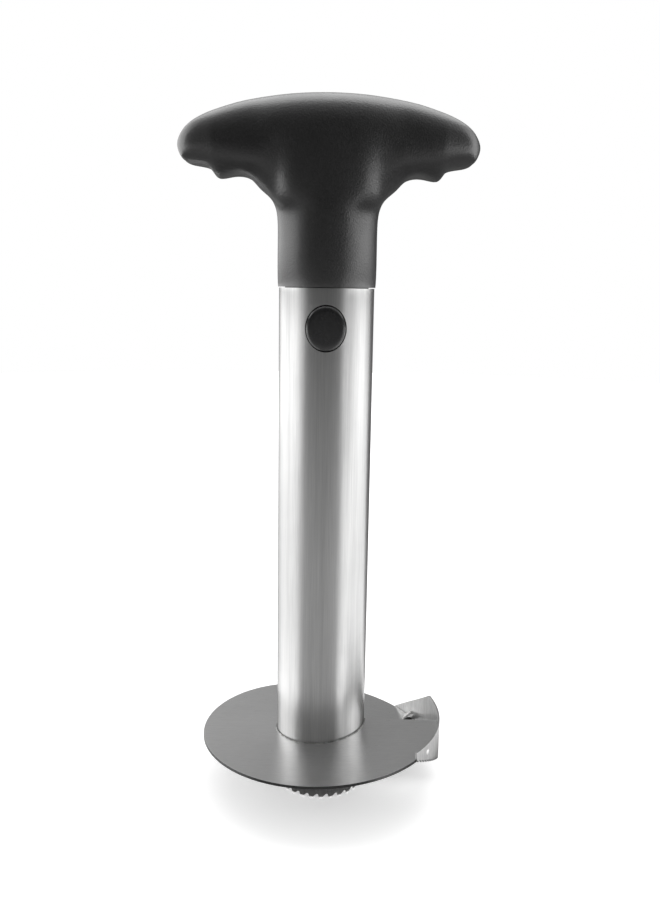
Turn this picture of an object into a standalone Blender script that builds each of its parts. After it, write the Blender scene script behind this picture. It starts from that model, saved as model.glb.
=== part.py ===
"""Pineapple slicer: a toothed coring tube with a spiral blade, and a T handle that lifts out of it.

Metres, +Z up. The origin is on the tube's axis, at the tips of its saw teeth. +X points to the slit of the
spiral blade and along the handle's wings; the release buttons face -Y and +Y.
"""

import math

import bmesh
import bpy
from mathutils import Matrix, Vector

# Clearances
GAP = 0.0003                    # between pieces that touch
SLIDE_CLEARANCE = 0.0003        # stem in tube, all round
BUTTON_CLEARANCE = 0.00035      # button in its holes, all round
OVERRUN = 0.006                 # how far a cut runs past what it cuts
MERGE_DISTANCE = 0.00001        # points closer than this are one

# Coring tube
TUBE_RADIUS = 0.0165
TUBE_WALL = 0.0008
TUBE_LENGTH = 0.1846
TOOTH_COUNT = 29
TOOTH_DEPTH = 0.0018
FIRST_TOOTH_ANGLE = math.radians(-5.0)
# Along one tooth, turning anticlockwise: share of the pitch, share of the tooth depth
TOOTH_SHARES = ((0.0, 1.0), (0.17, 0.0), (0.31, 0.0), (0.84, 1.0))

# Spiral blade; heights are those of its upper face above the tooth tips
DISC_RADIUS = 0.0442
SHEET_THICKNESS = 0.0010
LEADING_EDGE_HEIGHT = 0.0097
TRAILING_EDGE_HEIGHT = 0.0240
# From leading to trailing edge: share of the turn, share of the rise
RISE_SHARES = ((0.0, 0.0), (0.14, 0.205), (0.33, 0.560), (0.57, 0.765), (0.83, 0.925), (1.0, 1.0))
RISE_EASING_SHARES = (-0.05, -0.025, 0.0, 0.025, 0.05)
SLIT_ANGLE = math.radians(2.3)
DISC_COLUMNS = 84
EDGE_THICKNESS_SHARE = 0.3      # sharpened leading edge, of the sheet

# Upright blade on the spiral's rim; angles are measured anticlockwise from the leading edge
BLADE_THICKNESS = 0.0008
BLADE_PROUD = 0.0028            # above the trailing edge
BLADE_NOSE_PROUD = 0.0024       # the same at the nose
BLADE_SKIRT = 0.0003            # beyond the sheet it is joined to
BLADE_NOSE_LIFT = 0.0006        # roots of the nose's teeth, above the spiral's upper face
BLADE_NOSE_ANGLE = math.radians(-41)
BLADE_TOE_ANGLE = math.radians(1)
BLADE_CREST_ANGLE = math.radians(16.6)
BLADE_HEEL_ANGLE = math.radians(45.5)
BLADE_BACK_COLUMNS = 12
BLADE_TOOTH_COUNT = 17
BLADE_TOOTH_DEPTH = 0.0011

# Handle, measured from the collar's rim
COLLAR_STEP = 0.0005            # collar beyond the tube
COLLAR_WALL = 0.0022
HANDLE_HALF_SPAN = 0.051
CROWN_HEIGHT = 0.0628
CROWN_SWELL = 0.0003            # crown beyond the collar, front and rear
HANDLE_WALL = 0.0026
# Wing sections: share of the half span, then top and underside as shares of the crown height,
# then half depth as a share of the depth at the crown. The first three stand over the collar.
WING_SHARES = (
    (0.000, 1.000, 0.523, 1.000),
    (0.190, 0.996, 0.523, 0.955),
    (0.335, 0.986, 0.523, 0.865),
    (0.449, 0.972, 0.512, 0.800),
    (0.520, 0.961, 0.573, 0.775),
    (0.610, 0.944, 0.586, 0.740),
    (0.722, 0.916, 0.566, 0.690),
    (0.780, 0.899, 0.617, 0.645),
    (0.880, 0.860, 0.634, 0.545),
    (0.955, 0.808, 0.664, 0.390),
)
TIP_HEIGHT_SHARE = 0.738        # the wing tip's point, of the crown height
SHOULDER_SHARE = 0.79           # fullness of a wing section at its corners
# Rings from the crown down the collar: radius across and deep (of the collar's), height at the front
# and at the side (of the crown's), and how squarely the ring bulges (1 is round)
WEB_SHARES = (
    (1.160, 1.008, 0.528, 0.473, 0.75),
    (1.030, 1.002, 0.407, 0.400, 0.93),
    (1.000, 1.000, 0.270, 0.270, 1.00),
    (1.000, 1.000, 0.045, 0.045, 1.00),
)
RING_STEP = math.radians(30)
SETTLE_ROUNDS = 7

# Stem
STEM_DEPTH = 0.048              # from the collar's rim down to the stem's foot
NECK_HEIGHT = 0.0225
TANG_WIDTH_SHARE = 0.67         # of the neck's width
TANG_HEIGHT = 0.0205
PLUG_LID = 0.0016
PLUG_SPIGOT = 0.006
PLUG_CHAMFER = 0.0008

# Release buttons and their spring
BUTTON_WIDTH = 0.0132
BUTTON_HEIGHT = 0.0149
BUTTON_DROP = 0.0135            # centre below the collar's rim
BUTTON_PROUD = 0.0014           # face beyond the tube
BUTTON_EDGE = 0.0011            # rounded edge of the face
BUTTON_DOME = 0.0003
BUTTON_LIP = 0.0013             # flange beyond the hole
BUTTON_FLANGE = 0.0018
BUTTON_GUIDE = 0.0042           # stem wall that guides the button
SPRING_RADIUS = 0.0038          # to the middle of the wire
SPRING_WIRE_RADIUS = 0.0004
SPRING_TURNS = 7
SPRING_POINTS_PER_TURN = 10
SPRING_PEG_LENGTH = 0.0025
SPRING_PEG_PLAY = 0.0006

# Handle screws
SCREW_RADIUS = 0.0014
SCREW_HEAD_RADIUS = 0.0028
SCREW_HEAD_HEIGHT = 0.0018
SCREW_SLOT_WIDTH = 0.0007
SCREW_SLOT_DEPTH = 0.0009
SCREW_FLOOR = 0.0024            # plastic under the head
SCREW_BITE = 0.0048             # length held in the front shell
BOSS_WALL = 0.0014
WING_SCREW_SHARE = 0.60         # of the half span
WING_SCREW_HEIGHT_SHARE = 0.76  # of the crown height
TANG_SCREW_SHARES = (0.28, 0.74)  # up the tang

# Roundness of turned shapes
TUBE_STEPS = 48
SMALL_STEPS = 20
EDGE_STEPS = 3

# Worked out from the sizes above
RIM_HEIGHT = TUBE_LENGTH + GAP
TUBE_BORE_RADIUS = TUBE_RADIUS - TUBE_WALL
STEM_RADIUS = TUBE_BORE_RADIUS - SLIDE_CLEARANCE
COLLAR_RADIUS = TUBE_RADIUS + COLLAR_STEP
NECK_RADIUS = COLLAR_RADIUS - COLLAR_WALL - GAP
HANDLE_HALF_DEPTH = COLLAR_RADIUS + CROWN_SWELL
TANG_HALF = NECK_RADIUS * TANG_WIDTH_SHARE
SWEEP = 2 * math.pi - SLIT_ANGLE
BLADE_INNER_RADIUS = DISC_RADIUS + GAP
HOLE_HALF_WIDTH = BUTTON_WIDTH / 2 + BUTTON_CLEARANCE
HOLE_HALF_HEIGHT = BUTTON_HEIGHT / 2 + BUTTON_CLEARANCE
FLANGE_HALF_WIDTH = HOLE_HALF_WIDTH + BUTTON_LIP
FLANGE_HALF_HEIGHT = HOLE_HALF_HEIGHT + BUTTON_LIP
CHAMBER_HALF_WIDTH = FLANGE_HALF_WIDTH + GAP
CHAMBER_HALF_DEPTH = STEM_RADIUS - BUTTON_GUIDE
CHAMBER_TOP = FLANGE_HALF_HEIGHT + GAP - BUTTON_DROP
FLANGE_FACE = CHAMBER_HALF_DEPTH - GAP
SPRING_SEAT = FLANGE_FACE - BUTTON_FLANGE
BOSS_RADIUS = SCREW_HEAD_RADIUS + GAP + BOSS_WALL


# Scene set-up

def clear_scene():
    for obj in list(bpy.data.objects):
        bpy.data.objects.remove(obj, do_unlink=True)


def add_collection(name):
    group = bpy.data.collections.new(name)
    bpy.context.scene.collection.children.link(group)
    return group


def add_material(name, colour, roughness, metallic):
    material = bpy.data.materials.new(name)
    material.use_nodes = True
    shader = material.node_tree.nodes["Principled BSDF"]
    shader.inputs["Base Color"].default_value = (*colour, 1.0)
    shader.inputs["Roughness"].default_value = roughness
    shader.inputs["Metallic"].default_value = metallic
    return material


def add_frame(name, place, parent=None):
    frame = bpy.data.objects.new(name, None)
    frame.location = place
    frame.parent = parent
    parts.objects.link(frame)
    return frame


# Building blocks

def finish_object(name, bm, group, parent=None, place=(0, 0, 0)):
    mesh = bpy.data.meshes.new(name)
    bm.to_mesh(mesh)
    bm.free()
    obj = bpy.data.objects.new(name, mesh)
    obj.location = place
    obj.parent = parent
    group.objects.link(obj)
    if group is cutters:
        obj.hide_render = True
        obj.display_type = "WIRE"
    return obj


def as_part(obj, material, sharp_angle=math.radians(35)):
    obj.data.materials.clear()
    obj.data.materials.append(material)
    obj.data.shade_smooth()
    obj.data.set_sharp_from_angle(angle=sharp_angle)
    return obj


def plain_copy(name, obj, group, parent=None):
    bpy.context.view_layer.update()
    shown = obj.evaluated_get(bpy.context.evaluated_depsgraph_get())
    mesh = bpy.data.meshes.new_from_object(shown)
    mesh.name = name
    copy = bpy.data.objects.new(name, mesh)
    copy.parent = parent
    group.objects.link(copy)
    return copy


def add_box(name, low, high, parent=None, place=(0, 0, 0)):
    bm = bmesh.new()
    bmesh.ops.create_cube(bm, size=1)
    low = Vector(low)
    high = Vector(high)
    bmesh.ops.scale(bm, verts=bm.verts, vec=high - low)
    bmesh.ops.translate(bm, verts=bm.verts, vec=(high + low) / 2)
    return finish_object(name, bm, cutters, parent, place)


def add_rod(name, half_width, half_height, start, end, parent=None, place=(0, 0, 0), steps=SMALL_STEPS):
    """A rod along Y from start to end, round or oval, with a flat of its outline on top."""
    bm = bmesh.new()
    bmesh.ops.create_cone(bm, cap_ends=True, segments=steps, radius1=1, radius2=1, depth=1)
    bmesh.ops.rotate(bm, verts=bm.verts, matrix=Matrix.Rotation(math.pi / steps, 3, "Z"))
    bmesh.ops.scale(bm, verts=bm.verts, vec=(half_width, half_height, end - start))
    bmesh.ops.rotate(bm, verts=bm.verts, matrix=Matrix.Rotation(math.radians(-90), 3, "X"))
    bmesh.ops.translate(bm, verts=bm.verts, vec=(0, (start + end) / 2, 0))
    return finish_object(name, bm, cutters, parent, place)


def add_turned(name, profile, group, parent=None, place=(0, 0, 0), steps=TUBE_STEPS):
    """A shape turned about Z; the profile is (radius, height) from its top down its outer side."""
    bm = bmesh.new()
    points = [bm.verts.new((radius, 0, height)) for radius, height in profile]
    for first, second in zip(points, points[1:]):
        bm.edges.new((first, second))
    obj = finish_object(name, bm, group, parent, place)
    turn = obj.modifiers.new("turn", "SCREW")
    turn.axis = "Z"
    turn.angle = 2 * math.pi
    turn.steps = steps
    turn.render_steps = steps
    turn.use_merge_vertices = True
    turn.merge_threshold = MERGE_DISTANCE
    turn.use_smooth_shade = True
    return obj


def join_shape(obj, other, operation):
    change = obj.modifiers.new(operation.lower(), "BOOLEAN")
    change.operation = operation
    change.solver = "EXACT"
    change.object = other
    return obj


def cut(obj, *tools):
    for tool in tools:
        join_shape(obj, tool, "DIFFERENCE")
    return obj


def weld(obj, *additions):
    for addition in additions:
        join_shape(obj, addition, "UNION")
    return obj


def add_sheet(name, columns, rows, place_point, thickness, offset, parent=None):
    """An open sheet whose points follow a rule, given its thickness by Solidify."""
    bm = bmesh.new()
    bmesh.ops.create_grid(bm, x_segments=columns, y_segments=rows, size=0.5)
    for vertex in bm.verts:
        column = round((vertex.co.x + 0.5) * columns)
        row = round((vertex.co.y + 0.5) * rows)
        vertex.co = place_point(column, row)
    bmesh.ops.remove_doubles(bm, verts=bm.verts, dist=MERGE_DISTANCE)
    obj = finish_object(name, bm, parts, parent)
    wall = obj.modifiers.new("wall", "SOLIDIFY")
    wall.thickness = thickness
    wall.offset = offset
    return obj


def between(value, start, end, low, high):
    return low + (high - low) * (value - start) / (end - start)


def polar(radius, angle, height):
    return Vector((radius * math.cos(angle), radius * math.sin(angle), height))


# Coring tube

def tube_point(column, row):
    count = len(TOOTH_SHARES)
    along, depth = TOOTH_SHARES[column % count]
    angle = FIRST_TOOTH_ANGLE + 2 * math.pi * (column // count + along) / TOOTH_COUNT
    heights = (depth * TOOTH_DEPTH, 2 * TOOTH_DEPTH, TUBE_LENGTH)
    return polar(TUBE_RADIUS, angle, heights[row])


def make_core_tube():
    columns = TOOTH_COUNT * len(TOOTH_SHARES)
    tube = add_sheet("core_tube", columns, 2, tube_point, TUBE_WALL, -1)
    reach = TUBE_RADIUS + OVERRUN
    hole = add_rod("tube_hole_cutter", HOLE_HALF_WIDTH, HOLE_HALF_HEIGHT, -reach, reach,
                   place=(0, 0, RIM_HEIGHT - BUTTON_DROP), steps=TUBE_STEPS)
    cut(tube, hole)
    return as_part(tube, steel)


# Spiral blade

def rise_share(turn):
    """Straight runs between the points of RISE_SHARES, carried on past both ends."""
    for start, end in zip(RISE_SHARES, RISE_SHARES[1:]):
        if turn <= end[0] or end is RISE_SHARES[-1]:
            return between(turn, start[0], end[0], start[1], end[1])


def disc_height(angle):
    """Height of the spiral's upper face: a steep leading part that eases into a slow climb."""
    shares = [rise_share(angle / SWEEP + easing) for easing in RISE_EASING_SHARES]
    rise = TRAILING_EDGE_HEIGHT - LEADING_EDGE_HEIGHT
    return LEADING_EDGE_HEIGHT + rise * sum(shares) / len(shares)


def disc_point(column, row):
    angle = SWEEP * column / DISC_COLUMNS
    inner = TUBE_RADIUS + GAP
    return polar(inner + (DISC_RADIUS - inner) * row / 2, angle, disc_height(angle))


def make_slicing_disc():
    disc = add_sheet("slicing_disc", DISC_COLUMNS, 2, disc_point, SHEET_THICKNESS, -1)
    full = disc.vertex_groups.new(name="full_thickness")
    sharp_below = disc_height(SWEEP / DISC_COLUMNS / 2)
    blunt = [vertex.index for vertex in disc.data.vertices if vertex.co.z > sharp_below]
    full.add(blunt, 1.0, "REPLACE")
    wall = disc.modifiers["wall"]
    wall.vertex_group = full.name
    wall.thickness_vertex_group = EDGE_THICKNESS_SHARE
    return as_part(disc, steel)


# Upright blade

def blade_angles():
    rake = BLADE_TOE_ANGLE - BLADE_NOSE_ANGLE
    halves = 2 * BLADE_TOOTH_COUNT
    teeth = [BLADE_NOSE_ANGLE + rake * step / halves for step in range(halves + 1)]
    back = BLADE_HEEL_ANGLE - BLADE_TOE_ANGLE
    rest = [BLADE_TOE_ANGLE + back * step / BLADE_BACK_COLUMNS for step in range(1, BLADE_BACK_COLUMNS + 1)]
    return sorted(teeth + [BLADE_CREST_ANGLE] + rest)


def blade_top(angle):
    crest = TRAILING_EDGE_HEIGHT + BLADE_PROUD
    if angle <= BLADE_CREST_ANGLE:
        nose = TRAILING_EDGE_HEIGHT + BLADE_NOSE_PROUD
        return between(angle, BLADE_NOSE_ANGLE, BLADE_CREST_ANGLE, nose, crest)
    heel = disc_height(BLADE_HEEL_ANGLE) + BLADE_SKIRT
    return between(angle, BLADE_CREST_ANGLE, BLADE_HEEL_ANGLE, crest, heel)


def blade_foot(angle):
    """The foot skirts the leading part, then rises in a toothed rake to the trailing part."""
    if angle >= BLADE_TOE_ANGLE:
        rise = (angle - BLADE_TOE_ANGLE) / (BLADE_HEEL_ANGLE - BLADE_TOE_ANGLE)
        return disc_height(angle) - BLADE_SKIRT - SHEET_THICKNESS * min(1, rise * BLADE_BACK_COLUMNS / 2)
    toe = disc_height(BLADE_TOE_ANGLE) - BLADE_SKIRT
    nose = disc_height(2 * math.pi + BLADE_NOSE_ANGLE) + BLADE_NOSE_LIFT
    line = between(angle, BLADE_NOSE_ANGLE, BLADE_TOE_ANGLE, nose, toe)
    step = between(angle, BLADE_NOSE_ANGLE, BLADE_TOE_ANGLE, 0, 2 * BLADE_TOOTH_COUNT)
    notch = 1 - abs(step % 2 - 1)
    return line - notch * BLADE_TOOTH_DEPTH


def blade_point(column, row):
    angle = blade_angles()[column]
    height = blade_foot(angle) if row == 0 else blade_top(angle)
    return polar(BLADE_INNER_RADIUS, angle, height)


def make_side_blade():
    blade = add_sheet("side_blade", len(blade_angles()) - 1, 1, blade_point, BLADE_THICKNESS, 1)
    return as_part(blade, steel)


# Handle form

def wing_loop(station, inset):
    """Half a wing section, from its top round the front to its underside."""
    out, top, underside, depth = WING_SHARES[station]
    across = out * (HANDLE_HALF_SPAN - inset)
    high = top * CROWN_HEIGHT - inset
    low = underside * CROWN_HEIGHT + inset
    deep = depth * HANDLE_HALF_DEPTH - inset
    eased = eased_underside(station) * CROWN_HEIGHT + inset
    middle = (high + eased) / 2
    half = (high - eased) / 2
    return [Vector((across, 0, high)),
            Vector((across, -deep * SHOULDER_SHARE, middle + half * SHOULDER_SHARE)),
            Vector((across, -deep, middle)),
            Vector((across, -deep * SHOULDER_SHARE, middle - half * SHOULDER_SHARE)),
            Vector((across, 0, low))]


def eased_underside(station):
    """The grooves fade towards the front, so its lower edge follows the underside only loosely."""
    near = [WING_SHARES[min(max(station + step, 0), len(WING_SHARES) - 1)][2] for step in (-2, -1, 0, 1, 2)]
    return (near[0] + 2 * near[1] + 3 * near[2] + 2 * near[3] + near[4]) / 9


def web_ring(shares, inset):
    """A quarter ring from the front to the side."""
    wide, deep, front, side, bulge = shares
    ring = []
    for step in range(4):
        across = math.sin(RING_STEP * step) ** bulge
        forward = max(0, math.cos(RING_STEP * step)) ** bulge if step < 3 else 0
        height = CROWN_HEIGHT * (front + (side - front) * across ** 2)
        ring.append(Vector(((wide * COLLAR_RADIUS - inset) * across,
                            -(deep * COLLAR_RADIUS - inset) * forward,
                            height)))
    return ring


def handle_form(name, inset, foot, levels):
    """The smooth T form, as a quarter cage mirrored twice; foot is the height of its closed lower end."""
    rings = [web_ring(shares, inset) for shares in WEB_SHARES if CROWN_HEIGHT * shares[2] > foot]
    foot_radius = COLLAR_RADIUS - inset
    rings.append([polar(foot_radius, RING_STEP * step - math.pi / 2, foot) for step in range(4)])
    loops = [wing_loop(station, inset) for station in range(len(WING_SHARES))]
    for station in range(3):
        loops[station][3] = rings[0][station]
        loops[station][4] = rings[0][3]

    bm = bmesh.new()
    wing = [[bm.verts.new(point) for point in loop[:4]] for loop in loops[:3]]
    wing += [[bm.verts.new(point) for point in loop] for loop in loops[3:]]
    corner = bm.verts.new(rings[0][3])
    wing[2].append(corner)
    tip_point = Vector((HANDLE_HALF_SPAN - inset, 0, TIP_HEIGHT_SHARE * CROWN_HEIGHT))
    tip = bm.verts.new(tip_point)
    collar = [[wing[0][3], wing[1][3], wing[2][3], corner]]
    collar += [[bm.verts.new(point) for point in ring] for ring in rings[1:]]
    centre = bm.verts.new((0, 0, foot))

    for inner, outer in zip(wing, wing[1:]):
        for row in range(min(len(inner), len(outer)) - 1):
            bm.faces.new((inner[row], inner[row + 1], outer[row + 1], outer[row]))
    last = wing[-1]
    bm.faces.new((last[0], last[1], last[2], tip))
    bm.faces.new((tip, last[2], last[3], last[4]))
    for upper, lower in zip(collar, collar[1:]):
        for step in range(3):
            bm.faces.new((upper[step], lower[step], lower[step + 1], upper[step + 1]))
    bm.faces.new((*reversed(collar[-1]), centre))
    bmesh.ops.recalc_face_normals(bm, faces=bm.faces)
    bm.verts.index_update()
    fixed = {vertex.index for vertex in (*collar[-1], centre)}

    form = finish_object(name, bm, cutters, handle_frame)
    mirror = form.modifiers.new("halves", "MIRROR")
    mirror.use_axis = (True, True, False)
    mirror.use_clip = True
    mirror.merge_threshold = MERGE_DISTANCE
    smooth = form.modifiers.new("smooth", "SUBSURF")
    smooth.levels = levels
    smooth.render_levels = levels
    settle_cage(form, fixed)
    return form


def settle_cage(form, fixed):
    """Moves the cage until the smooth surface passes through the section points that it started on."""
    mesh = form.data
    goals = [vertex.co.copy() for vertex in mesh.vertices]
    for _ in range(SETTLE_ROUNDS):
        bpy.context.view_layer.update()
        shown = form.evaluated_get(bpy.context.evaluated_depsgraph_get()).data.vertices
        moves = [goal - shown[index].co for index, goal in enumerate(goals)]
        for index, move in enumerate(moves):
            if index not in fixed:
                mesh.vertices[index].co += move
        mesh.update()


# Screws of the handle

def screw_places():
    """Name, across, height, and the planes of head seat and front end for each screw."""
    across = WING_SCREW_SHARE * HANDLE_HALF_SPAN
    wing_height = WING_SCREW_HEIGHT_SHARE * CROWN_HEIGHT
    wing_seat = GAP / 2 + SCREW_FLOOR
    wing_end = -GAP / 2 - SCREW_BITE
    tang_seat = TANG_HALF + GAP + SCREW_FLOOR
    tang_end = -TANG_HALF - GAP - SCREW_BITE
    lower, upper = (NECK_HEIGHT + share * TANG_HEIGHT for share in TANG_SCREW_SHARES)
    return (("handle_screw_left", -across, wing_height, wing_seat, wing_end),
            ("handle_screw_right", across, wing_height, wing_seat, wing_end),
            ("handle_screw_upper", 0, upper, tang_seat, tang_end),
            ("handle_screw_lower", 0, lower, tang_seat, tang_end))


def make_screw(name, across, height, seat, end):
    """A pan-head screw that enters from the rear; its own axis is local Z, with the head up."""
    head_foot = GAP
    head_top = head_foot + SCREW_HEAD_HEIGHT
    length = seat - end
    point = SCREW_RADIUS
    rounding = SCREW_HEAD_HEIGHT / 3
    profile = [(0, head_top), (SCREW_HEAD_RADIUS - rounding, head_top),
               (SCREW_HEAD_RADIUS, head_top - rounding), (SCREW_HEAD_RADIUS, head_foot),
               (SCREW_RADIUS, head_foot), (SCREW_RADIUS, point - length), (0, -length)]
    screw = add_turned(name, profile, parts, handle_frame, (across, seat, height), SMALL_STEPS)
    screw.rotation_euler = (math.radians(-90), 0, 0)
    half = SCREW_SLOT_WIDTH / 2
    reach = SCREW_HEAD_RADIUS - rounding
    floor = head_top - SCREW_SLOT_DEPTH
    for side, low, high in (("a", (-reach, -half), (reach, half)), ("b", (-half, -reach), (half, reach))):
        slot = add_box(name + "_slot_" + side, (*low, floor), (*high, head_top + OVERRUN))
        slot.parent = screw
        cut(screw, slot)
    return as_part(screw, screw_steel)


def screw_cutters(stem_only=False):
    """Shank holes for the stem, or stepped holes for both shells."""
    tools = []
    for name, across, height, seat, end in screw_places():
        place = (across, 0, height)
        if stem_only and across:
            continue
        far = end - GAP
        shank = SCREW_RADIUS + GAP
        kind = "_stem_hole" if stem_only else "_hole"
        tools.append(add_rod(name + kind, shank, shank, far, seat + GAP, handle_frame, place))
        if not stem_only:
            head = SCREW_HEAD_RADIUS + GAP
            top = HANDLE_HALF_DEPTH + OVERRUN
            tools.append(add_rod(name + "_counterbore", head, head, seat, top, handle_frame, place))
    return tools


# Handle shells

def make_cavity():
    """The hollow of the crown and wings, with the screw bosses left standing in it; its foot is in the neck."""
    cavity = handle_form("handle_cavity", HANDLE_WALL, NECK_HEIGHT / 2, 1)
    reach = HANDLE_HALF_DEPTH + OVERRUN
    for name, across, height, _, _ in screw_places():
        place = (across, 0, height)
        boss = add_rod(name + "_boss", BOSS_RADIUS, BOSS_RADIUS, -reach, reach, handle_frame, place)
        cut(cavity, boss)
    return cavity


def make_shells():
    form = handle_form("handle_form", 0, -OVERRUN, 2)
    cavity = make_cavity()
    neck = NECK_RADIUS + GAP
    neck_profile = [(0, NECK_HEIGHT + GAP), (neck, NECK_HEIGHT + GAP), (neck, -OVERRUN), (0, -OVERRUN)]
    neck_space = add_turned("neck_space", neck_profile, cutters, handle_frame)
    tang = TANG_HALF + GAP
    tang_top = NECK_HEIGHT + TANG_HEIGHT + GAP
    tang_space = add_box("tang_space", (-tang, -tang, 0), (tang, tang, tang_top), handle_frame)
    holes = screw_cutters()
    reach = HANDLE_HALF_SPAN + OVERRUN
    top = CROWN_HEIGHT + OVERRUN
    shells = []
    for name, near, far in (("handle_front_shell", -reach, -GAP / 2), ("handle_rear_shell", GAP / 2, reach)):
        shell = plain_copy(name, form, parts, handle_frame)
        half = add_box(name + "_half", (-reach, near, 0), (reach, far, top), handle_frame)
        join_shape(shell, half, "INTERSECT")
        cut(shell, cavity, neck_space, tang_space, *holes)
        shells.append(as_part(shell, handle_plastic))
    return shells


# Stem and its plug

def make_stem():
    shoulder = -GAP
    foot = -STEM_DEPTH
    profile = [(0, NECK_HEIGHT), (NECK_RADIUS, NECK_HEIGHT), (NECK_RADIUS, shoulder), (STEM_RADIUS, shoulder),
               (STEM_RADIUS, foot), (0, foot)]
    stem = add_turned("handle_stem", profile, parts, handle_frame)
    tang_top = NECK_HEIGHT + TANG_HEIGHT
    tang = add_box("tang", (-TANG_HALF, -TANG_HALF, 0), (TANG_HALF, TANG_HALF, tang_top), handle_frame)
    weld(stem, tang)
    chamber = add_box("chamber", (-CHAMBER_HALF_WIDTH, -CHAMBER_HALF_DEPTH, foot - OVERRUN),
                      (CHAMBER_HALF_WIDTH, CHAMBER_HALF_DEPTH, CHAMBER_TOP), handle_frame)
    reach = STEM_RADIUS + OVERRUN
    window = add_rod("button_window", HOLE_HALF_WIDTH, HOLE_HALF_HEIGHT, -reach, reach, handle_frame,
                     (0, 0, -BUTTON_DROP), TUBE_STEPS)
    cut(stem, chamber, window, *screw_cutters(stem_only=True))
    return as_part(stem, handle_plastic)


def make_plug():
    top = -STEM_DEPTH - GAP
    foot = top - PLUG_LID
    profile = [(0, top), (STEM_RADIUS, top), (STEM_RADIUS, foot + PLUG_CHAMFER),
               (STEM_RADIUS - PLUG_CHAMFER, foot), (0, foot)]
    plug = add_turned("stem_plug", profile, parts, handle_frame)
    half_width = CHAMBER_HALF_WIDTH - GAP
    half_depth = CHAMBER_HALF_DEPTH - GAP
    spigot = add_box("spigot", (-half_width, -half_depth, foot + PLUG_LID / 2),
                     (half_width, half_depth, top + PLUG_SPIGOT), handle_frame)
    weld(plug, spigot)
    return as_part(plug, handle_plastic)


# Buttons and spring

def button_profile(length):
    """Shaft of the button, from the middle of its domed face down its side; radii are shares of 1."""
    half_width = BUTTON_WIDTH / 2
    points = [(0, length)]
    corner = length - BUTTON_DOME
    for step in range(EDGE_STEPS + 1):
        angle = math.pi / 2 * step / EDGE_STEPS
        out = half_width - BUTTON_EDGE * (1 - math.sin(angle))
        points.append((out, corner - BUTTON_EDGE * (1 - math.cos(angle))))
    points += [(half_width, 0), (0, 0)]
    return points


def make_button(name, frame, facing):
    """facing is 1 for the rear button, which faces +Y, and -1 for the front one."""
    start = FLANGE_FACE - BUTTON_FLANGE / 2
    length = TUBE_RADIUS + BUTTON_PROUD - start
    shaft = add_turned(name + "_shaft", button_profile(length), cutters, steps=TUBE_STEPS)
    button = plain_copy(name, shaft, parts, frame)
    oval = Matrix.Diagonal((1, BUTTON_HEIGHT / BUTTON_WIDTH, 1, 1))
    turn = Matrix.Rotation(-facing * math.radians(90), 4, "X")
    button.data.transform(Matrix.Translation((0, facing * start, 0)) @ turn @ oval)
    near, far = sorted((facing * SPRING_SEAT, facing * FLANGE_FACE))
    flange = add_box(name + "_flange", (-FLANGE_HALF_WIDTH, near, -FLANGE_HALF_HEIGHT),
                     (FLANGE_HALF_WIDTH, far, FLANGE_HALF_HEIGHT), frame)
    peg_radius = SPRING_RADIUS - SPRING_WIRE_RADIUS - SPRING_PEG_PLAY
    peg_end = SPRING_SEAT - SPRING_PEG_LENGTH
    near, far = sorted((facing * peg_end, facing * start))
    peg = add_rod(name + "_peg", peg_radius, peg_radius, near, far, frame)
    weld(button, flange, peg)
    return as_part(button, button_plastic)


def spring_path():
    half_length = SPRING_SEAT - GAP - SPRING_WIRE_RADIUS
    count = SPRING_TURNS * SPRING_POINTS_PER_TURN
    points = []
    for step in range(count + 1):
        angle = 2 * math.pi * step / SPRING_POINTS_PER_TURN
        along = half_length * (2 * step / count - 1)
        points.append(Vector((SPRING_RADIUS * math.cos(angle), along, SPRING_RADIUS * math.sin(angle))))
    return points


def make_spring():
    points = spring_path()
    curve = bpy.data.curves.new("button_spring", "CURVE")
    curve.dimensions = "3D"
    curve.bevel_depth = SPRING_WIRE_RADIUS
    curve.bevel_resolution = 1
    curve.use_fill_caps = True
    wire = curve.splines.new("POLY")
    wire.points.add(len(points) - 1)
    for slot, point in zip(wire.points, points):
        slot.co = (*point, 1)
    spring = bpy.data.objects.new("button_spring", curve)
    spring.parent = button_frame
    parts.objects.link(spring)
    curve.materials.append(spring_steel)
    apart = SPRING_POINTS_PER_TURN // 2
    nearest = min((points[a] - points[b]).length
                  for a in range(len(points)) for b in range(a + apart, len(points)))
    print(f"button_spring least gap to itself: {(nearest - 2 * SPRING_WIRE_RADIUS) * 1000:.2f} mm")
    return spring


clear_scene()
parts = add_collection("pineapple_slicer")
cutters = add_collection("cutters")

steel = add_material("brushed_steel", (0.62, 0.62, 0.61), 0.32, 1.0)
screw_steel = add_material("screw_steel", (0.55, 0.55, 0.55), 0.35, 1.0)
spring_steel = add_material("spring_steel", (0.50, 0.50, 0.50), 0.30, 1.0)
handle_plastic = add_material("handle_plastic", (0.018, 0.018, 0.019), 0.62, 0.0)
button_plastic = add_material("button_plastic", (0.008, 0.008, 0.009), 0.22, 0.0)

make_core_tube()
make_slicing_disc()
make_side_blade()

# The handle slides up the tube's axis; each button slides along Y through the middle of its hole
handle_frame = add_frame("handle_lift_frame", (0, 0, RIM_HEIGHT))
button_frame = add_frame("button_press_frame", (0, 0, -BUTTON_DROP), handle_frame)
make_shells()
make_stem()
make_plug()
make_button("front_button", button_frame, -1)
make_button("rear_button", button_frame, 1)
make_spring()
for place in screw_places():
    make_screw(*place)
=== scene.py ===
import math

import bmesh
import bpy
from mathutils import Matrix, Vector


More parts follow.
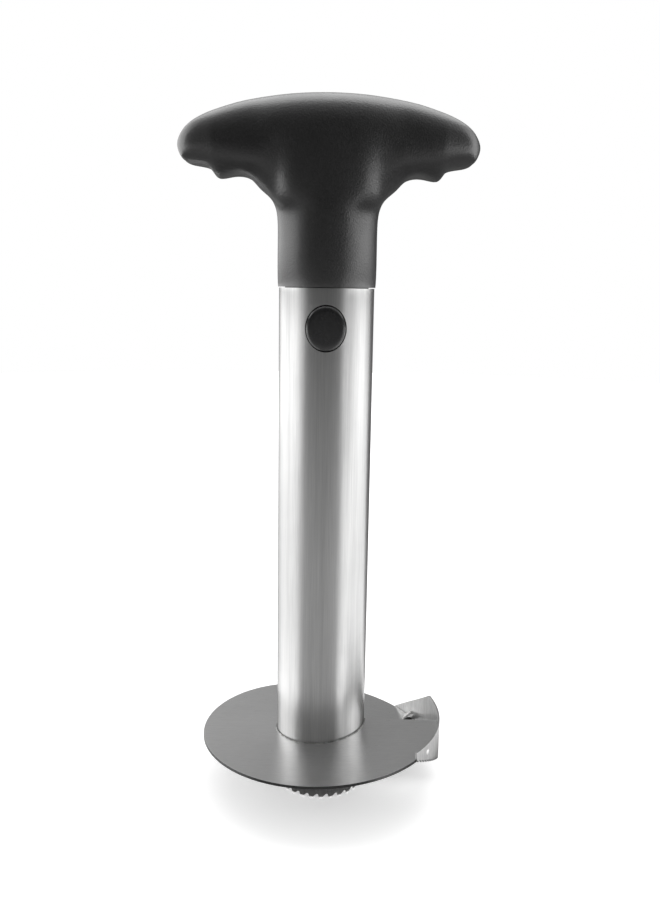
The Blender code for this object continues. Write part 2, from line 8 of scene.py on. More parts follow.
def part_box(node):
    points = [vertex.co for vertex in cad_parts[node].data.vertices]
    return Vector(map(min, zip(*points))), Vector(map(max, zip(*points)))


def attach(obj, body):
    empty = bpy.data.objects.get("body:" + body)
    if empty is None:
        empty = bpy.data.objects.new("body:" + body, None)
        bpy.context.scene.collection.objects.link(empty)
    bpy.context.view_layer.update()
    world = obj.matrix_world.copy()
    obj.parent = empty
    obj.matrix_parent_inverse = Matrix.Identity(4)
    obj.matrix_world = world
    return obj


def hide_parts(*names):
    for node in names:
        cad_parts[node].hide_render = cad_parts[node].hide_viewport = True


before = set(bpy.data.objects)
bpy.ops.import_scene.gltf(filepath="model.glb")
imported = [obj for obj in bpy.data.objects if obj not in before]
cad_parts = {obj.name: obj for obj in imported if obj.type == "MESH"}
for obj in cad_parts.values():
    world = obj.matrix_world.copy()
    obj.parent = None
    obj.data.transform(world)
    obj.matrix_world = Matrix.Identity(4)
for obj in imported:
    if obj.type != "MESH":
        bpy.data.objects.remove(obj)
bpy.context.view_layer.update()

fit = {
    "gap": 0.0003,          # between pieces that touch, as in the frame
    "merge": 0.000005,      # points closer than this are one
    "sliver": 0.0000005,    # faces thinner than this are left out
    "overrun": 0.004,       # how far a cut runs past what it cuts
    "softSteps": 2,         # across a rounded edge
    "softAngle": math.radians(40),      # edges sharper than this are rounded
    "sharpAngle": math.radians(35),     # and shaded as sharp past this
    "flatAngle": math.radians(0.8),     # faces this level with each other are one
    "roundAngle": math.radians(14),     # walls this close to a cylinder's are lit as its own
    "allSmooth": math.radians(180),
}
quarterTurn = math.radians(90)
_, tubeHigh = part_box("core_tube")
rimHeight = tubeHigh.z + fit["gap"]     # the handle's collar sits here


# camera: the photograph's angle

cameraView = {
    "x": 0.0020,
    "y": -0.302,
    "tilt": math.radians(10.76),
    "roll": math.radians(0.89),
    "focalPixels": 856,
    "imageHeight": 900,
    "filmHeight": 36,       # mm, the long side
    "nearLimit": 0.01,
}


def addCamera(look):
    data = bpy.data.cameras.new("photoCamera")
    data.sensor_width = look["filmHeight"]
    data.lens = look["focalPixels"] * look["filmHeight"] / look["imageHeight"]
    data.clip_start = look["nearLimit"]
    camera = bpy.data.objects.new("photoCamera", data)
    tilted = Matrix.Rotation(quarterTurn - look["tilt"], 4, "X")
    rolled = Matrix.Rotation(look["roll"], 4, "Z")
    camera.matrix_world = Matrix.Translation((look["x"], look["y"], rimHeight)) @ tilted @ rolled
    bpy.context.scene.collection.objects.link(camera)
    bpy.context.scene.camera = camera


addCamera(cameraView)
bpy.context.scene.view_settings.view_transform = "Standard"
print("camera set")


# small helpers for node trees, used by shapes and finishes alike

def feed(tree, socket, value):
    if isinstance(value, bpy.types.NodeSocket):
        tree.links.new(value, socket)
    else:
        socket.default_value = value


def addNode(tree, kind, settings=None, **values):
    node = tree.nodes.new(kind)
    for key, value in (settings or {}).items():
        setattr(node, key, value)
    for label, value in values.items():
        feed(tree, node.inputs[label.replace("_", " ")], value)
    return node


def calc(tree, operation, *values, kind="ShaderNodeMath", output=0, **named):
    node = addNode(tree, kind, {"operation": operation}, **named)
    for socket, value in zip(node.inputs, values):
        feed(tree, socket, value)
    return node.outputs[output]


def total(tree, values):
    result = values[0]
    for value in values[1:]:
        result = calc(tree, "ADD", result, value)
    return result


def vectorCalc(tree, operation, *vectors, output="Vector", **named):
    return calc(tree, operation, *vectors, kind="ShaderNodeVectorMath", output=output, **named)


def noise(tree, vector, scale, detail, **values):
    return addNode(tree, "ShaderNodeTexNoise", Vector=vector, Scale=scale, Detail=detail, **values).outputs[0]


def ranged(tree, value, start, end, first=0.0, last=1.0, blend="LINEAR"):
    # runs from first to last while the value runs from start to end
    return addNode(tree, "ShaderNodeMapRange", {"interpolation_type": blend}, Value=value, From_Min=start,
                   From_Max=end, To_Min=first, To_Max=last).outputs[0]


def newTree(name, kind, inputs, outputs):
    # each input comes with its value or, where it has none, with its kind
    tree = bpy.data.node_groups.new(name, kind)
    for label, value in inputs.items():
        plainKind = value if isinstance(value, str) else {int: "Int", float: "Float"}[type(value)]
        socket = tree.interface.new_socket(label, in_out="INPUT", socket_type="NodeSocket" + plainKind)
        if plainKind is not value:
            socket.default_value = value
    for label, plainKind in outputs.items():
        tree.interface.new_socket(label, in_out="OUTPUT", socket_type="NodeSocket" + plainKind)
    return tree, tree.nodes.new("NodeGroupInput").outputs, tree.nodes.new("NodeGroupOutput").inputs


def finishShape(tree, result, geometry, material):
    real = addNode(tree, "GeometryNodeRealizeInstances", Geometry=geometry)
    painted = addNode(tree, "GeometryNodeSetMaterial", Geometry=real.outputs[0], Material=material)
    feed(tree, result["Geometry"], painted.outputs[0])


def pipeAlong(tree, curve, sides, radius):
    ring = addNode(tree, "GeometryNodeCurvePrimitiveCircle", Resolution=sides, Radius=radius)
    return addNode(tree, "GeometryNodeCurveToMesh", Curve=curve, Profile_Curve=ring.outputs[0],
                   Fill_Caps=True).outputs[0]


# small helpers for meshes

def addObject(name, mesh):
    obj = bpy.data.objects.new(name, mesh)
    bpy.context.scene.collection.objects.link(obj)
    return obj


def settle(obj):
    # the modifiers become plain mesh
    bpy.context.view_layer.update()
    graph = bpy.context.evaluated_depsgraph_get()
    mesh = bpy.data.meshes.new_from_object(obj.evaluated_get(graph), depsgraph=graph)
    obj.modifiers.clear()
    obj.data = mesh
    return obj


def discard(*objects):
    for obj in objects:
        bpy.data.objects.remove(obj, do_unlink=True)


def grow(name, tree, values, startMesh=None):
    # runs a shape tree with its own values and returns the plain result
    host = addObject(name, startMesh or bpy.data.meshes.new(name))
    modifier = host.modifiers.new("shape", "NODES")
    modifier.node_group = tree
    for item in tree.interface.items_tree:
        if item.item_type == "SOCKET" and item.in_out == "INPUT" and item.name in values:
            modifier[item.identifier] = values[item.name]
    return settle(host)


def fromBmesh(name, bm):
    mesh = bpy.data.meshes.new(name)
    bm.to_mesh(mesh)
    bm.free()
    return addObject(name, mesh)


def pathMesh(name, points):
    mesh = bpy.data.meshes.new(name)
    mesh.from_pydata(points, [(i, i + 1) for i in range(len(points) - 1)], [])
    return mesh


def turned(name, profile, steps):
    # a profile of (radius, height) turned about Z
    bm = bmesh.new()
    points = [bm.verts.new((radius, 0, height)) for radius, height in profile]
    edges = [bm.edges.new(pair) for pair in zip(points, points[1:])]
    bmesh.ops.spin(bm, geom=points + edges, axis=(0, 0, 1), cent=(0, 0, 0), steps=steps, angle=2 * math.pi)
    bmesh.ops.remove_doubles(bm, verts=bm.verts, dist=fit["merge"])
    bmesh.ops.recalc_face_normals(bm, faces=bm.faces)
    return fromBmesh(name, bm)


def roundedRim(radius, top, width, height, steps):
    # profile points from a face out to its rim
    turns = [math.pi / 2 * step / steps for step in range(steps + 1)]
    return [(radius - width * (1 - math.sin(turn)), top - height * (1 - math.cos(turn))) for turn in turns]


def block(name, low, high):
    bm = bmesh.new()
    bmesh.ops.create_cube(bm, size=1)
    size = Vector(high) - Vector(low)
    bmesh.ops.scale(bm, verts=bm.verts, vec=size)
    bmesh.ops.translate(bm, verts=bm.verts, vec=Vector(low) + size / 2)
    return fromBmesh(name, bm)


def rodAlongY(name, halfWidth, halfHeight, start, end, centre, steps):
    bm = bmesh.new()
    bmesh.ops.create_cone(bm, cap_ends=True, segments=steps, radius1=1, radius2=1, depth=1)
    bmesh.ops.scale(bm, verts=bm.verts, vec=(halfWidth, halfHeight, end - start))
    bmesh.ops.rotate(bm, verts=bm.verts, matrix=Matrix.Rotation(-quarterTurn, 3, "X"))
    bmesh.ops.translate(bm, verts=bm.verts, vec=(centre[0], (start + end) / 2, centre[1]))
    return fromBmesh(name, bm)


def combine(obj, operation, *others):
    for other in others:
        change = obj.modifiers.new(operation, "BOOLEAN")
        change.operation = operation
        change.solver = "EXACT"
        change.object = other
        settle(obj)
    discard(*others)
    return obj


def addWall(obj, thickness, offset):
    wall = obj.modifiers.new("wall", "SOLIDIFY")
    wall.thickness = thickness
    wall.offset = offset
    return wall


def cleaned(obj):
    # slivers that cuts and bevels leave are taken out
    bm = bmesh.new()
    bm.from_mesh(obj.data)
    bmesh.ops.dissolve_degenerate(bm, dist=fit["sliver"], edges=bm.edges[:])
    bm.to_mesh(obj.data)
    bm.free()
    return obj


def softenEdges(obj, width, angle=fit["softAngle"]):
    edge = obj.modifiers.new("softEdges", "BEVEL")
    edge.width = width
    edge.segments = fit["softSteps"]
    edge.limit_method = "ANGLE"
    edge.angle_limit = angle
    return settle(obj)


def smooth(obj, angle=fit["sharpAngle"]):
    obj.data.shade_smooth()
    obj.data.set_sharp_from_angle(angle=angle)
    return obj


def smoothFlats(obj):
    # flat faces keep their own shading beside a softened edge
    smooth(obj)
    weighted = obj.modifiers.new("flatNormals", "WEIGHTED_NORMAL")
    weighted.keep_sharp = True
    return settle(obj)


def roundNormals(obj):
    # walls that run round the Z axis are lit as a true cylinder, whatever cuts through them
    smooth(obj)
    mesh = obj.data
    normals = [Vector((0, 0, 0))] * len(mesh.loops)
    for face in mesh.polygons:
        for index in face.loop_indices:
            place = mesh.vertices[mesh.loops[index].vertex_index].co
            outward = Vector((place.x, place.y, 0)).normalized()
            facing = face.normal.dot(outward)
            if abs(facing) > math.cos(fit["roundAngle"]) and outward.length:
                normals[index] = outward * math.copysign(1, facing)
    mesh.normals_split_custom_set(normals)
    return obj


def smoothCopy(name, node):
    # a merged copy of a frame node, with its flat faces joined again
    bm = bmesh.new()
    bm.from_mesh(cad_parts[node].data)
    bmesh.ops.remove_doubles(bm, verts=bm.verts, dist=fit["merge"])
    bmesh.ops.dissolve_limit(bm, angle_limit=fit["flatAngle"], verts=bm.verts, edges=bm.edges)
    return fromBmesh(name, bm)


def dress(obj, material, body, slot, *nodes):
    obj.data.materials.clear()
    obj.data.materials.append(material)
    for face in obj.data.polygons:
        face.material_index = 0
    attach(obj, body)
    if nodes:
        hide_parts(*nodes)
    return obj


# shared effects of the finishes

effectLook = {
    "streakRange": (0.3, 0.7),
    "smudgeRange": (0.45, 0.75),
    "smudgeSwirl": 0.6,
    "scratchRange": (0.985, 1.0),
    "scratchSwirl": 14.0,
    "scratchPatchRange": (0.55, 0.7),
    "wearPatchRange": (0.35, 0.6),
    "speckleRange": (0.35, 0.65),
}


def makeBrushedGrain(look):
    # Streak runs from 0 to 1; the vector comes in already stretched along the brushing
    tree, given, result = newTree("brushedGrain", "ShaderNodeTree", {
        "Vector": "Vector", "Fine Scale": 4000.0, "Coarse Scale": 700.0, "Coarse Share": 0.4},
        {"Streak": "Float", "Height": "Float"})
    fine = noise(tree, given["Vector"], given["Fine Scale"], 3.0)
    coarse = noise(tree, given["Vector"], given["Coarse Scale"], 2.0)
    finePart = calc(tree, "MULTIPLY", fine, calc(tree, "SUBTRACT", 1.0, given["Coarse Share"]))
    mixed = calc(tree, "ADD", finePart, calc(tree, "MULTIPLY", coarse, given["Coarse Share"]))
    feed(tree, result["Streak"], ranged(tree, mixed, *look["streakRange"]))
    feed(tree, result["Height"], fine)
    return tree


def makeHandlingMarks(look):
    # Smudge is a soft film of fingerprints and rinsing, Scratch a few thin bright lines
    tree, given, result = newTree("handlingMarks", "ShaderNodeTree", {
        "Vector": "Vector", "Smudge Scale": 60.0, "Scratch Scale": 90.0}, {"Smudge": "Float", "Scratch": "Float"})
    film = noise(tree, given["Vector"], given["Smudge Scale"], 4.0, Distortion=look["smudgeSwirl"])
    bent = noise(tree, given["Vector"], given["Scratch Scale"], 1.0)
    lines = addNode(tree, "ShaderNodeTexWave", {"bands_direction": "DIAGONAL"}, Vector=given["Vector"],
                    Scale=given["Scratch Scale"], Distortion=look["scratchSwirl"], Detail=1.0).outputs[1]
    thin = ranged(tree, lines, *look["scratchRange"])
    patchy = ranged(tree, bent, *look["scratchPatchRange"])
    feed(tree, result["Smudge"], ranged(tree, film, *look["smudgeRange"]))
    feed(tree, result["Scratch"], calc(tree, "MULTIPLY", thin, patchy))
    return tree


def makeEdgeWear(look):
    # Wear is 1 on convex edges, broken up by noise
    tree, given, result = newTree("edgeWear", "ShaderNodeTree", {
        "Vector": "Vector", "Start": 0.53, "End": 0.6, "Patch Scale": 400.0}, {"Wear": "Float"})
    pointed = tree.nodes.new("ShaderNodeNewGeometry").outputs["Pointiness"]
    edge = ranged(tree, pointed, given["Start"], given["End"])
    patches = noise(tree, given["Vector"], given["Patch Scale"], 2.0)
    feed(tree, result["Wear"], calc(tree, "MULTIPLY", edge, ranged(tree, patches, *look["wearPatchRange"])))
    return tree


def makeMouldedGrain(look):
    # the fine spark-eroded grain of a moulded handle
    tree, given, result = newTree("mouldedGrain", "ShaderNodeTree", {"Vector": "Vector", "Grain Scale": 2000.0},
                                  {"Height": "Float", "Shade": "Float"})
    cells = addNode(tree, "ShaderNodeTexVoronoi", {"feature": "SMOOTH_F1"}, Vector=given["Vector"],
                    Scale=given["Grain Scale"]).outputs[0]
    speckle = noise(tree, given["Vector"], given["Grain Scale"], 2.0)
    feed(tree, result["Height"], calc(tree, "ADD", cells, speckle))
    feed(tree, result["Shade"], ranged(tree, speckle, *look["speckleRange"]))
    return tree


effects = {
    "grain": makeBrushedGrain(effectLook),
    "marks": makeHandlingMarks(effectLook),
    "wear": makeEdgeWear(effectLook),
    "moulded": makeMouldedGrain(effectLook),
}


def startMaterial(name):
    material = bpy.data.materials.new(name)
    material.use_nodes = True
    tree = material.node_tree
    coords = tree.nodes.new("ShaderNodeTexCoord").outputs["Object"]
    return material, tree, tree.nodes["Principled BSDF"], coords


def useEffect(tree, effect, **values):
    return addNode(tree, "ShaderNodeGroup", {"node_tree": effects[effect]}, **values).outputs


def mixColour(tree, share, first, second):
    node = tree.nodes.new("ShaderNodeMix")
    node.data_type = "RGBA"
    feed(tree, node.inputs["Factor"], share)
    for socket, colour in zip((node.inputs[6], node.inputs[7]), (first, second)):
        feed(tree, socket, colour if isinstance(colour, bpy.types.NodeSocket) else (*colour, 1))
    return node.outputs[2]


def addBump(tree, shader, height, distance):
    bump = addNode(tree, "ShaderNodeBump", Height=height, Distance=distance, Strength=1.0)
    feed(tree, shader.inputs["Normal"], bump.outputs[0])


def markAlong(tree, coords, start, end, halfWidth, softness):
    # 1 on a stretch from start to end, with a ragged edge
    along = Vector(end) - Vector(start)
    offset = vectorCalc(tree, "SUBTRACT", coords, start)
    reach = vectorCalc(tree, "DOT_PRODUCT", offset, along / along.length_squared, output="Value")
    share = addNode(tree, "ShaderNodeClamp", Value=reach).outputs[0]
    nearest = vectorCalc(tree, "SCALE", along, Scale=share)
    apart = vectorCalc(tree, "DISTANCE", offset, nearest, output="Value")
    ragged = calc(tree, "MULTIPLY", noise(tree, coords, 1 / halfWidth, 2.0), 2 * softness)
    distance = calc(tree, "ADD", apart, calc(tree, "SUBTRACT", ragged, softness))
    return ranged(tree, distance, halfWidth, halfWidth + softness, 1.0, 0.0)


def handledColour(tree, coords, shade, look):
    # the colour under its film of handling and with its worn edges, and the marks themselves
    marks = useEffect(tree, "marks", Vector=coords)
    wear = useEffect(tree, "wear", Vector=coords)
    base = mixColour(tree, shade, look["dark"], look["light"])
    filmed = mixColour(tree, calc(tree, "MULTIPLY", marks["Smudge"], look["film"]), base, look["filmColour"])
    worn = mixColour(tree, calc(tree, "MULTIPLY", wear["Wear"], look["wear"]), filmed, look["wearColour"])
    return worn, marks


def makeSteel(name, look):
    material, tree, shader, coords = startMaterial(name)
    stretched = addNode(tree, "ShaderNodeMapping", Vector=coords, Rotation=look["turn"], Scale=look["stretch"])
    grain = useEffect(tree, "grain", Vector=stretched.outputs[0], Fine_Scale=look["fine"],
                      Coarse_Scale=look["coarse"], Coarse_Share=look["coarseShare"])
    worn, marks = handledColour(tree, coords, grain["Streak"], look)
    # painted shade: near-black strips along given stretches of the sheet
    for *stretch, colour in look.get("paintedSlotShades", ()):
        worn = mixColour(tree, markAlong(tree, coords, *stretch), worn, colour)
    # painted shade: the sheet's rim is coloured near-black between two radii
    if "paintedRimShade" in look:
        inner, outer, colour = look["paintedRimShade"]
        level = vectorCalc(tree, "MULTIPLY", coords, (1, 1, 0))
        reach = vectorCalc(tree, "LENGTH", level, output="Value")
        worn = mixColour(tree, ranged(tree, reach, inner, outer), worn, colour)
    # painted shade: the colour darkens where the surface turns edge-on to the view, drawing a dark outline
    if "edgeShade" in look:
        near, far, share = look["edgeShade"]
        facing = addNode(tree, "ShaderNodeLayerWeight", Blend=0.5).outputs["Facing"]
        worn = mixColour(tree, ranged(tree, facing, near, far, last=share), worn, look["edgeColour"])
    feed(tree, shader.inputs["Base Color"], worn)
    low, high = look["roughness"]
    rough = ranged(tree, grain["Streak"], 0.0, 1.0, high, low)
    filmRough = calc(tree, "MULTIPLY", marks["Smudge"], look["filmRoughness"])
    scratched = calc(tree, "MULTIPLY", marks["Scratch"], look["scratch"])
    feed(tree, shader.inputs["Roughness"], total(tree, [rough, filmRough, scratched]))
    shader.inputs["Metallic"].default_value = look["metallic"]
    addBump(tree, shader, grain["Height"], look["grooveDepth"])
    return material


def makePlastic(name, look):
    material, tree, shader, coords = startMaterial(name)
    grain = useEffect(tree, "moulded", Vector=coords, Grain_Scale=look["grainScale"])
    worn, marks = handledColour(tree, coords, grain["Shade"], look)
    feed(tree, shader.inputs["Base Color"], worn)
    low, high = look["roughness"]
    feed(tree, shader.inputs["Roughness"], ranged(tree, marks["Smudge"], 0.0, 1.0, high, low))
    shader.inputs["Specular IOR Level"].default_value = look["specular"]
    shader.inputs["IOR"].default_value = look["refraction"]
    addBump(tree, shader, grain["Height"], look["grainDepth"])
    return material


def grey(value, blue=None):
    return (value, value, value if blue is None else blue)


tubeSteel = {
    "dark": grey(0.50), "light": grey(0.66, 0.655),
    "turn": (0.0, 0.0, 0.0), "stretch": (1.0, 1.0, 0.012),     # brushed along the tube
    "fine": 5200.0, "coarse": 600.0, "coarseShare": 0.45,
    "film": 0.10, "filmColour": grey(0.46, 0.455), "filmRoughness": 0.05,
    "wear": 0.5, "wearColour": grey(0.78, 0.77), "scratch": 0.06,
    "roughness": (0.27, 0.34), "grooveDepth": 0.000002, "metallic": 1.0,
}
discSteel = {
    **tubeSteel,
    "dark": grey(0.70), "light": grey(0.84, 0.835),
    "turn": (0.0, 0.0, math.radians(24)), "stretch": (0.03, 1.0, 1.0),     # sheet brushed in one direction
    "fine": 9000.0, "coarse": 1800.0, "coarseShare": 0.25, "grooveDepth": 0.0000012, "film": 0.12,
    "paintedRimShade": (0.04408, 0.04416, grey(0.07)),      # radius from and to, and near-black colour painted on the sheet's cut rim as shade
    # start, end, half width, softness and colour of a near-black strip by the upright blade, painted shade standing
    # in for a dark slot
    "paintedSlotShades": (((0.0335, 0.0203, 0.0110), (0.0364, 0.0228, 0.0112), 0.0010, 0.0004, grey(0.010)),),
}
bladeSteel = {
    **tubeSteel,
    "dark": grey(0.60, 0.597), "light": grey(0.82, 0.815), "stretch": (1.0, 1.0, 0.15), "fine": 2600.0,
    "film": 0.20, "filmColour": grey(0.50, 0.495), "roughness": (0.28, 0.40),
}
weldSteel = {
    **tubeSteel,
    "dark": grey(0.10, 0.098), "light": (0.62, 0.615, 0.61),
    "stretch": (1.0, 1.0, 1.0), "fine": 700.0, "roughness": (0.30, 0.45), "grooveDepth": 0.00001,
}
# painted highlight: near-white and barely metallic, so that the rim bead and the spot weld show as white glints
paintedGlintSteel = {
    **weldSteel,
    "dark": (0.80, 0.795, 0.79), "light": (0.97, 0.965, 0.96), "roughness": (0.45, 0.60), "metallic": 0.35,
}
screwSteel = {
    **tubeSteel,
    "dark": grey(0.42), "light": grey(0.58, 0.575),
    "stretch": (1.0, 1.0, 1.0), "fine": 3000.0, "roughness": (0.26, 0.38),
}
springSteel = {**screwSteel, "dark": grey(0.36, 0.37), "light": grey(0.52)}
handlePlastic = {
    "dark": grey(0.004, 0.0042), "light": grey(0.010, 0.0103),
    "grainScale": 1900.0, "grainDepth": 0.000045,
    "film": 0.20, "filmColour": grey(0.014),
    "wear": 0.5, "wearColour": grey(0.03),
    "roughness": (0.31, 0.38), "specular": 1.0, "refraction": 1.65,
}
stemPlastic = {**handlePlastic, "grainDepth": 0.000008, "roughness": (0.36, 0.46)}
buttonPlastic = {
    **handlePlastic,
    "dark": grey(0.006, 0.0065), "light": grey(0.011, 0.0115),
    "grainScale": 1500.0, "grainDepth": 0.000002,
    "film": 0.3, "filmColour": grey(0.016), "roughness": (0.20, 0.30), "specular": 0.6,
}
finishes = {
    # the tube's finish has a painted dark outline along its sides
    "tube": makeSteel("brushedTubeSteel", {**tubeSteel, "edgeShade": (0.62, 0.86, 0.9), "edgeColour": grey(0.16)}),
    "disc": makeSteel("brushedSheetSteel", discSteel),
    "blade": makeSteel("bladeSteel", bladeSteel),
    "weld": makeSteel("weldSteel", weldSteel),
    "paintedGlint": makeSteel("paintedGlintSteel", paintedGlintSteel),
    "screw": makeSteel("screwSteel", screwSteel),
    "spring": makeSteel("springSteel", springSteel),
    "handle": makePlastic("grainedHandlePlastic", handlePlastic),
    "stem": makePlastic("stemPlastic", stemPlastic),
    "button": makePlastic("glossButtonPlastic", buttonPlastic),
}
print("finishes made:", len(finishes))


# coring tube: a sheet wrapped round, its foot cut into saw teeth

tubeShape = {
    "radius": 0.0165,
    "wall": 0.0008,
    "teeth": 29,
    "toothDepth": 0.0018,
    "firstTooth": math.radians(-5.0),
    # along one tooth: share of the pitch, share of the tooth depth
    "toothShares": ((0.0, 1.0), (0.085, 0.5), (0.17, 0.0), (0.31, 0.0),
                    (0.4425, 0.25), (0.575, 0.5), (0.7075, 0.75), (0.84, 1.0)),
    "rows": 40,
    "edge": 0.00008,
}
buttonShape = {
    "width": 0.0132,
    "height": 0.0149,
    "drop": 0.0135,         # centre below the collar's rim
    "clearance": 0.00035,
    "edgeWidth": 0.0020,
    "edgeHeight": 0.0011,
    "dome": 0.0003,
    "edgeSteps": 10,
    "steps": 128,
    "capShare": 0.5,        # outer share of the button's length that is turned here
    "cutReach": 1.0,        # far past the button all round
}


def pickByIndex(tree, index, values):
    node = addNode(tree, "GeometryNodeIndexSwitch", {"data_type": "FLOAT"})
    for _ in values[2:]:
        node.index_switch_items.new()
    feed(tree, node.inputs[0], index)
    for socket, value in zip(node.inputs[1:], values):
        socket.default_value = value
    return node.outputs[0]


def wrapPoint(tree, radius, angle, height):
    x = calc(tree, "MULTIPLY", radius, calc(tree, "COSINE", angle))
    y = calc(tree, "MULTIPLY", radius, calc(tree, "SINE", angle))
    return addNode(tree, "ShaderNodeCombineXYZ", X=x, Y=y, Z=height).outputs[0]


def gridShares(tree, columns, rows):
    # an open grid, and each point's share across and up it
    grid = addNode(tree, "GeometryNodeMeshGrid", Size_X=1.0, Size_Y=1.0,
                   Vertices_X=calc(tree, "ADD", columns, 1.0), Vertices_Y=calc(tree, "ADD", rows, 1.0))
    place = tree.nodes.new("GeometryNodeInputPosition").outputs[0]
    split = addNode(tree, "ShaderNodeSeparateXYZ", Vector=place).outputs
    return grid.outputs[0], calc(tree, "ADD", split["X"], 0.5), calc(tree, "ADD", split["Y"], 0.5)


def makeTubeTree(shares):
    tree, given, result = newTree("toothedTube", "GeometryNodeTree", {
        "Radius": 0.0165, "Length": 0.18, "Teeth": 29, "Tooth Depth": 0.002, "First Tooth": 0.0, "Rows": 40,
        "Merge": 0.00001, "Material": "Material"}, {"Geometry": "Geometry"})
    perTooth = float(len(shares))
    columns = calc(tree, "MULTIPLY", given["Teeth"], perTooth)
    grid, across, up = gridShares(tree, columns, given["Rows"])
    column = calc(tree, "ROUND", calc(tree, "MULTIPLY", across, columns))
    tooth = calc(tree, "FLOOR", calc(tree, "DIVIDE", column, perTooth))
    step = calc(tree, "MODULO", column, perTooth)
    along = pickByIndex(tree, step, [share[0] for share in shares])
    depth = pickByIndex(tree, step, [share[1] for share in shares])
    turn = calc(tree, "DIVIDE", calc(tree, "ADD", tooth, along), given["Teeth"])
    angle = calc(tree, "ADD", calc(tree, "MULTIPLY", turn, 2 * math.pi), given["First Tooth"])
    base = calc(tree, "MULTIPLY", given["Tooth Depth"], 2.0)
    row = calc(tree, "ROUND", calc(tree, "MULTIPLY", up, given["Rows"]))
    wallRows = calc(tree, "SUBTRACT", given["Rows"], 1.0)
    rise = calc(tree, "DIVIDE", calc(tree, "SUBTRACT", row, 1.0), wallRows)
    wallHeight = calc(tree, "ADD", base, calc(tree, "MULTIPLY", rise, calc(tree, "SUBTRACT", given["Length"], base)))
    footHeight = calc(tree, "MULTIPLY", depth, given["Tooth Depth"])
    isFoot = calc(tree, "LESS_THAN", row, 0.5)
    drop = calc(tree, "MULTIPLY", isFoot, calc(tree, "SUBTRACT", footHeight, wallHeight))
    place = wrapPoint(tree, given["Radius"], angle, calc(tree, "ADD", wallHeight, drop))
    wrapped = addNode(tree, "GeometryNodeSetPosition", Geometry=grid, Position=place)
    closed = addNode(tree, "GeometryNodeMergeByDistance", Geometry=wrapped.outputs[0], Distance=given["Merge"])
    finishShape(tree, result, closed.outputs[0], given["Material"])
    return tree


def makeCoreTube(shape):
    tube = grow("coreTube", makeTubeTree(shape["toothShares"]), {
        "Radius": shape["radius"], "Length": tubeHigh.z, "Teeth": shape["teeth"], "Tooth Depth": shape["toothDepth"],
        "First Tooth": shape["firstTooth"], "Rows": shape["rows"], "Merge": fit["merge"],
        "Material": finishes["tube"]})
    addWall(tube, shape["wall"], -1)
    settle(tube)
    reach = shape["radius"] + fit["overrun"]
    halfWidth = buttonShape["width"] / 2 + buttonShape["clearance"]
    halfHeight = buttonShape["height"] / 2 + buttonShape["clearance"]
    hole = rodAlongY("tubeHoleCutter", halfWidth, halfHeight, -reach, reach,
                     (0, rimHeight - buttonShape["drop"]), buttonShape["steps"])
    combine(tube, "DIFFERENCE", hole)
    softenEdges(tube, shape["edge"])
    roundNormals(tube)
    return dress(tube, finishes["tube"], "blade_tube", "brushed_steel", "core_tube")


makeCoreTube(tubeShape)
print("coring tube made")


# spiral blade: a one-turn sheet that climbs from its leading edge to its trailing edge

discShape = {
    "radius": 0.0442,
    "thickness": 0.0010,
    "leadHeight": 0.0097,   # upper face at the leading edge
    "trailHeight": 0.0240,
    # share of the turn, share of the rise
    "riseShares": ((0.0, 0.0), (0.14, 0.205), (0.33, 0.560), (0.57, 0.765), (0.83, 0.925), (1.0, 1.0)),
    "easingShares": (-0.05, -0.025, 0.0, 0.025, 0.05),
    "slit": math.radians(2.3),
    "tubeGap": 0.00010,     # a dark hairline round the tube
    "turnSteps": 420,
    "widthSteps": 8,
    "groundAngle": math.radians(4.3),      # the leading edge is ground thin over this angle
    "edgeShare": 0.25,
    "edge": 0.00015,
}
sweep = 2 * math.pi - discShape["slit"]


def riseSlopes(shares):
    return [(end[1] - start[1]) / (end[0] - start[0]) for start, end in zip(shares, shares[1:])]


def discHeight(angle, shape=discShape):
    slopes = riseSlopes(shape["riseShares"])
    shares = []
    for easing in shape["easingShares"]:
        turn = angle / sweep + easing
        share = slopes[0] * turn
        for index in range(1, len(slopes)):
            share += (slopes[index] - slopes[index - 1]) * max(0, turn - shape["riseShares"][index][0])
        shares.append(share)
    rise = shape["trailHeight"] - shape["leadHeight"]
    return shape["leadHeight"] + rise * sum(shares) / len(shares)


def makeSpiralTree(shape):
    tree, given, result = newTree("spiralSheet", "GeometryNodeTree", {
        "Inner Radius": 0.0165, "Outer Radius": 0.044, "Lead Height": 0.01, "Rise": 0.014, "Sweep": 6.2,
        "Turn Steps": 400, "Width Steps": 8, "Material": "Material"}, {"Geometry": "Geometry"})
    grid, turn, out = gridShares(tree, given["Turn Steps"], given["Width Steps"])
    slopes = riseSlopes(shape["riseShares"])
    eased = []
    for easing in shape["easingShares"]:
        moved = calc(tree, "ADD", turn, easing)
        parts = [calc(tree, "MULTIPLY", moved, slopes[0])]
        for index in range(1, len(slopes)):
            past = calc(tree, "MAXIMUM", calc(tree, "SUBTRACT", moved, shape["riseShares"][index][0]), 0.0)
            parts.append(calc(tree, "MULTIPLY", past, slopes[index] - slopes[index - 1]))
        eased.append(total(tree, parts))
    share = calc(tree, "DIVIDE", total(tree, eased), float(len(eased)))
    height = calc(tree, "ADD", given["Lead Height"], calc(tree, "MULTIPLY", share, given["Rise"]))
    width = calc(tree, "SUBTRACT", given["Outer Radius"], given["Inner Radius"])
    radius = calc(tree, "ADD", given["Inner Radius"], calc(tree, "MULTIPLY", out, width))
    place = wrapPoint(tree, radius, calc(tree, "MULTIPLY", turn, given["Sweep"]), height)
    climbed = addNode(tree, "GeometryNodeSetPosition", Geometry=grid, Position=place)
    turnedUp = addNode(tree, "GeometryNodeFlipFaces", Mesh=climbed.outputs[0])
    finishShape(tree, result, turnedUp.outputs[0], given["Material"])
    return tree


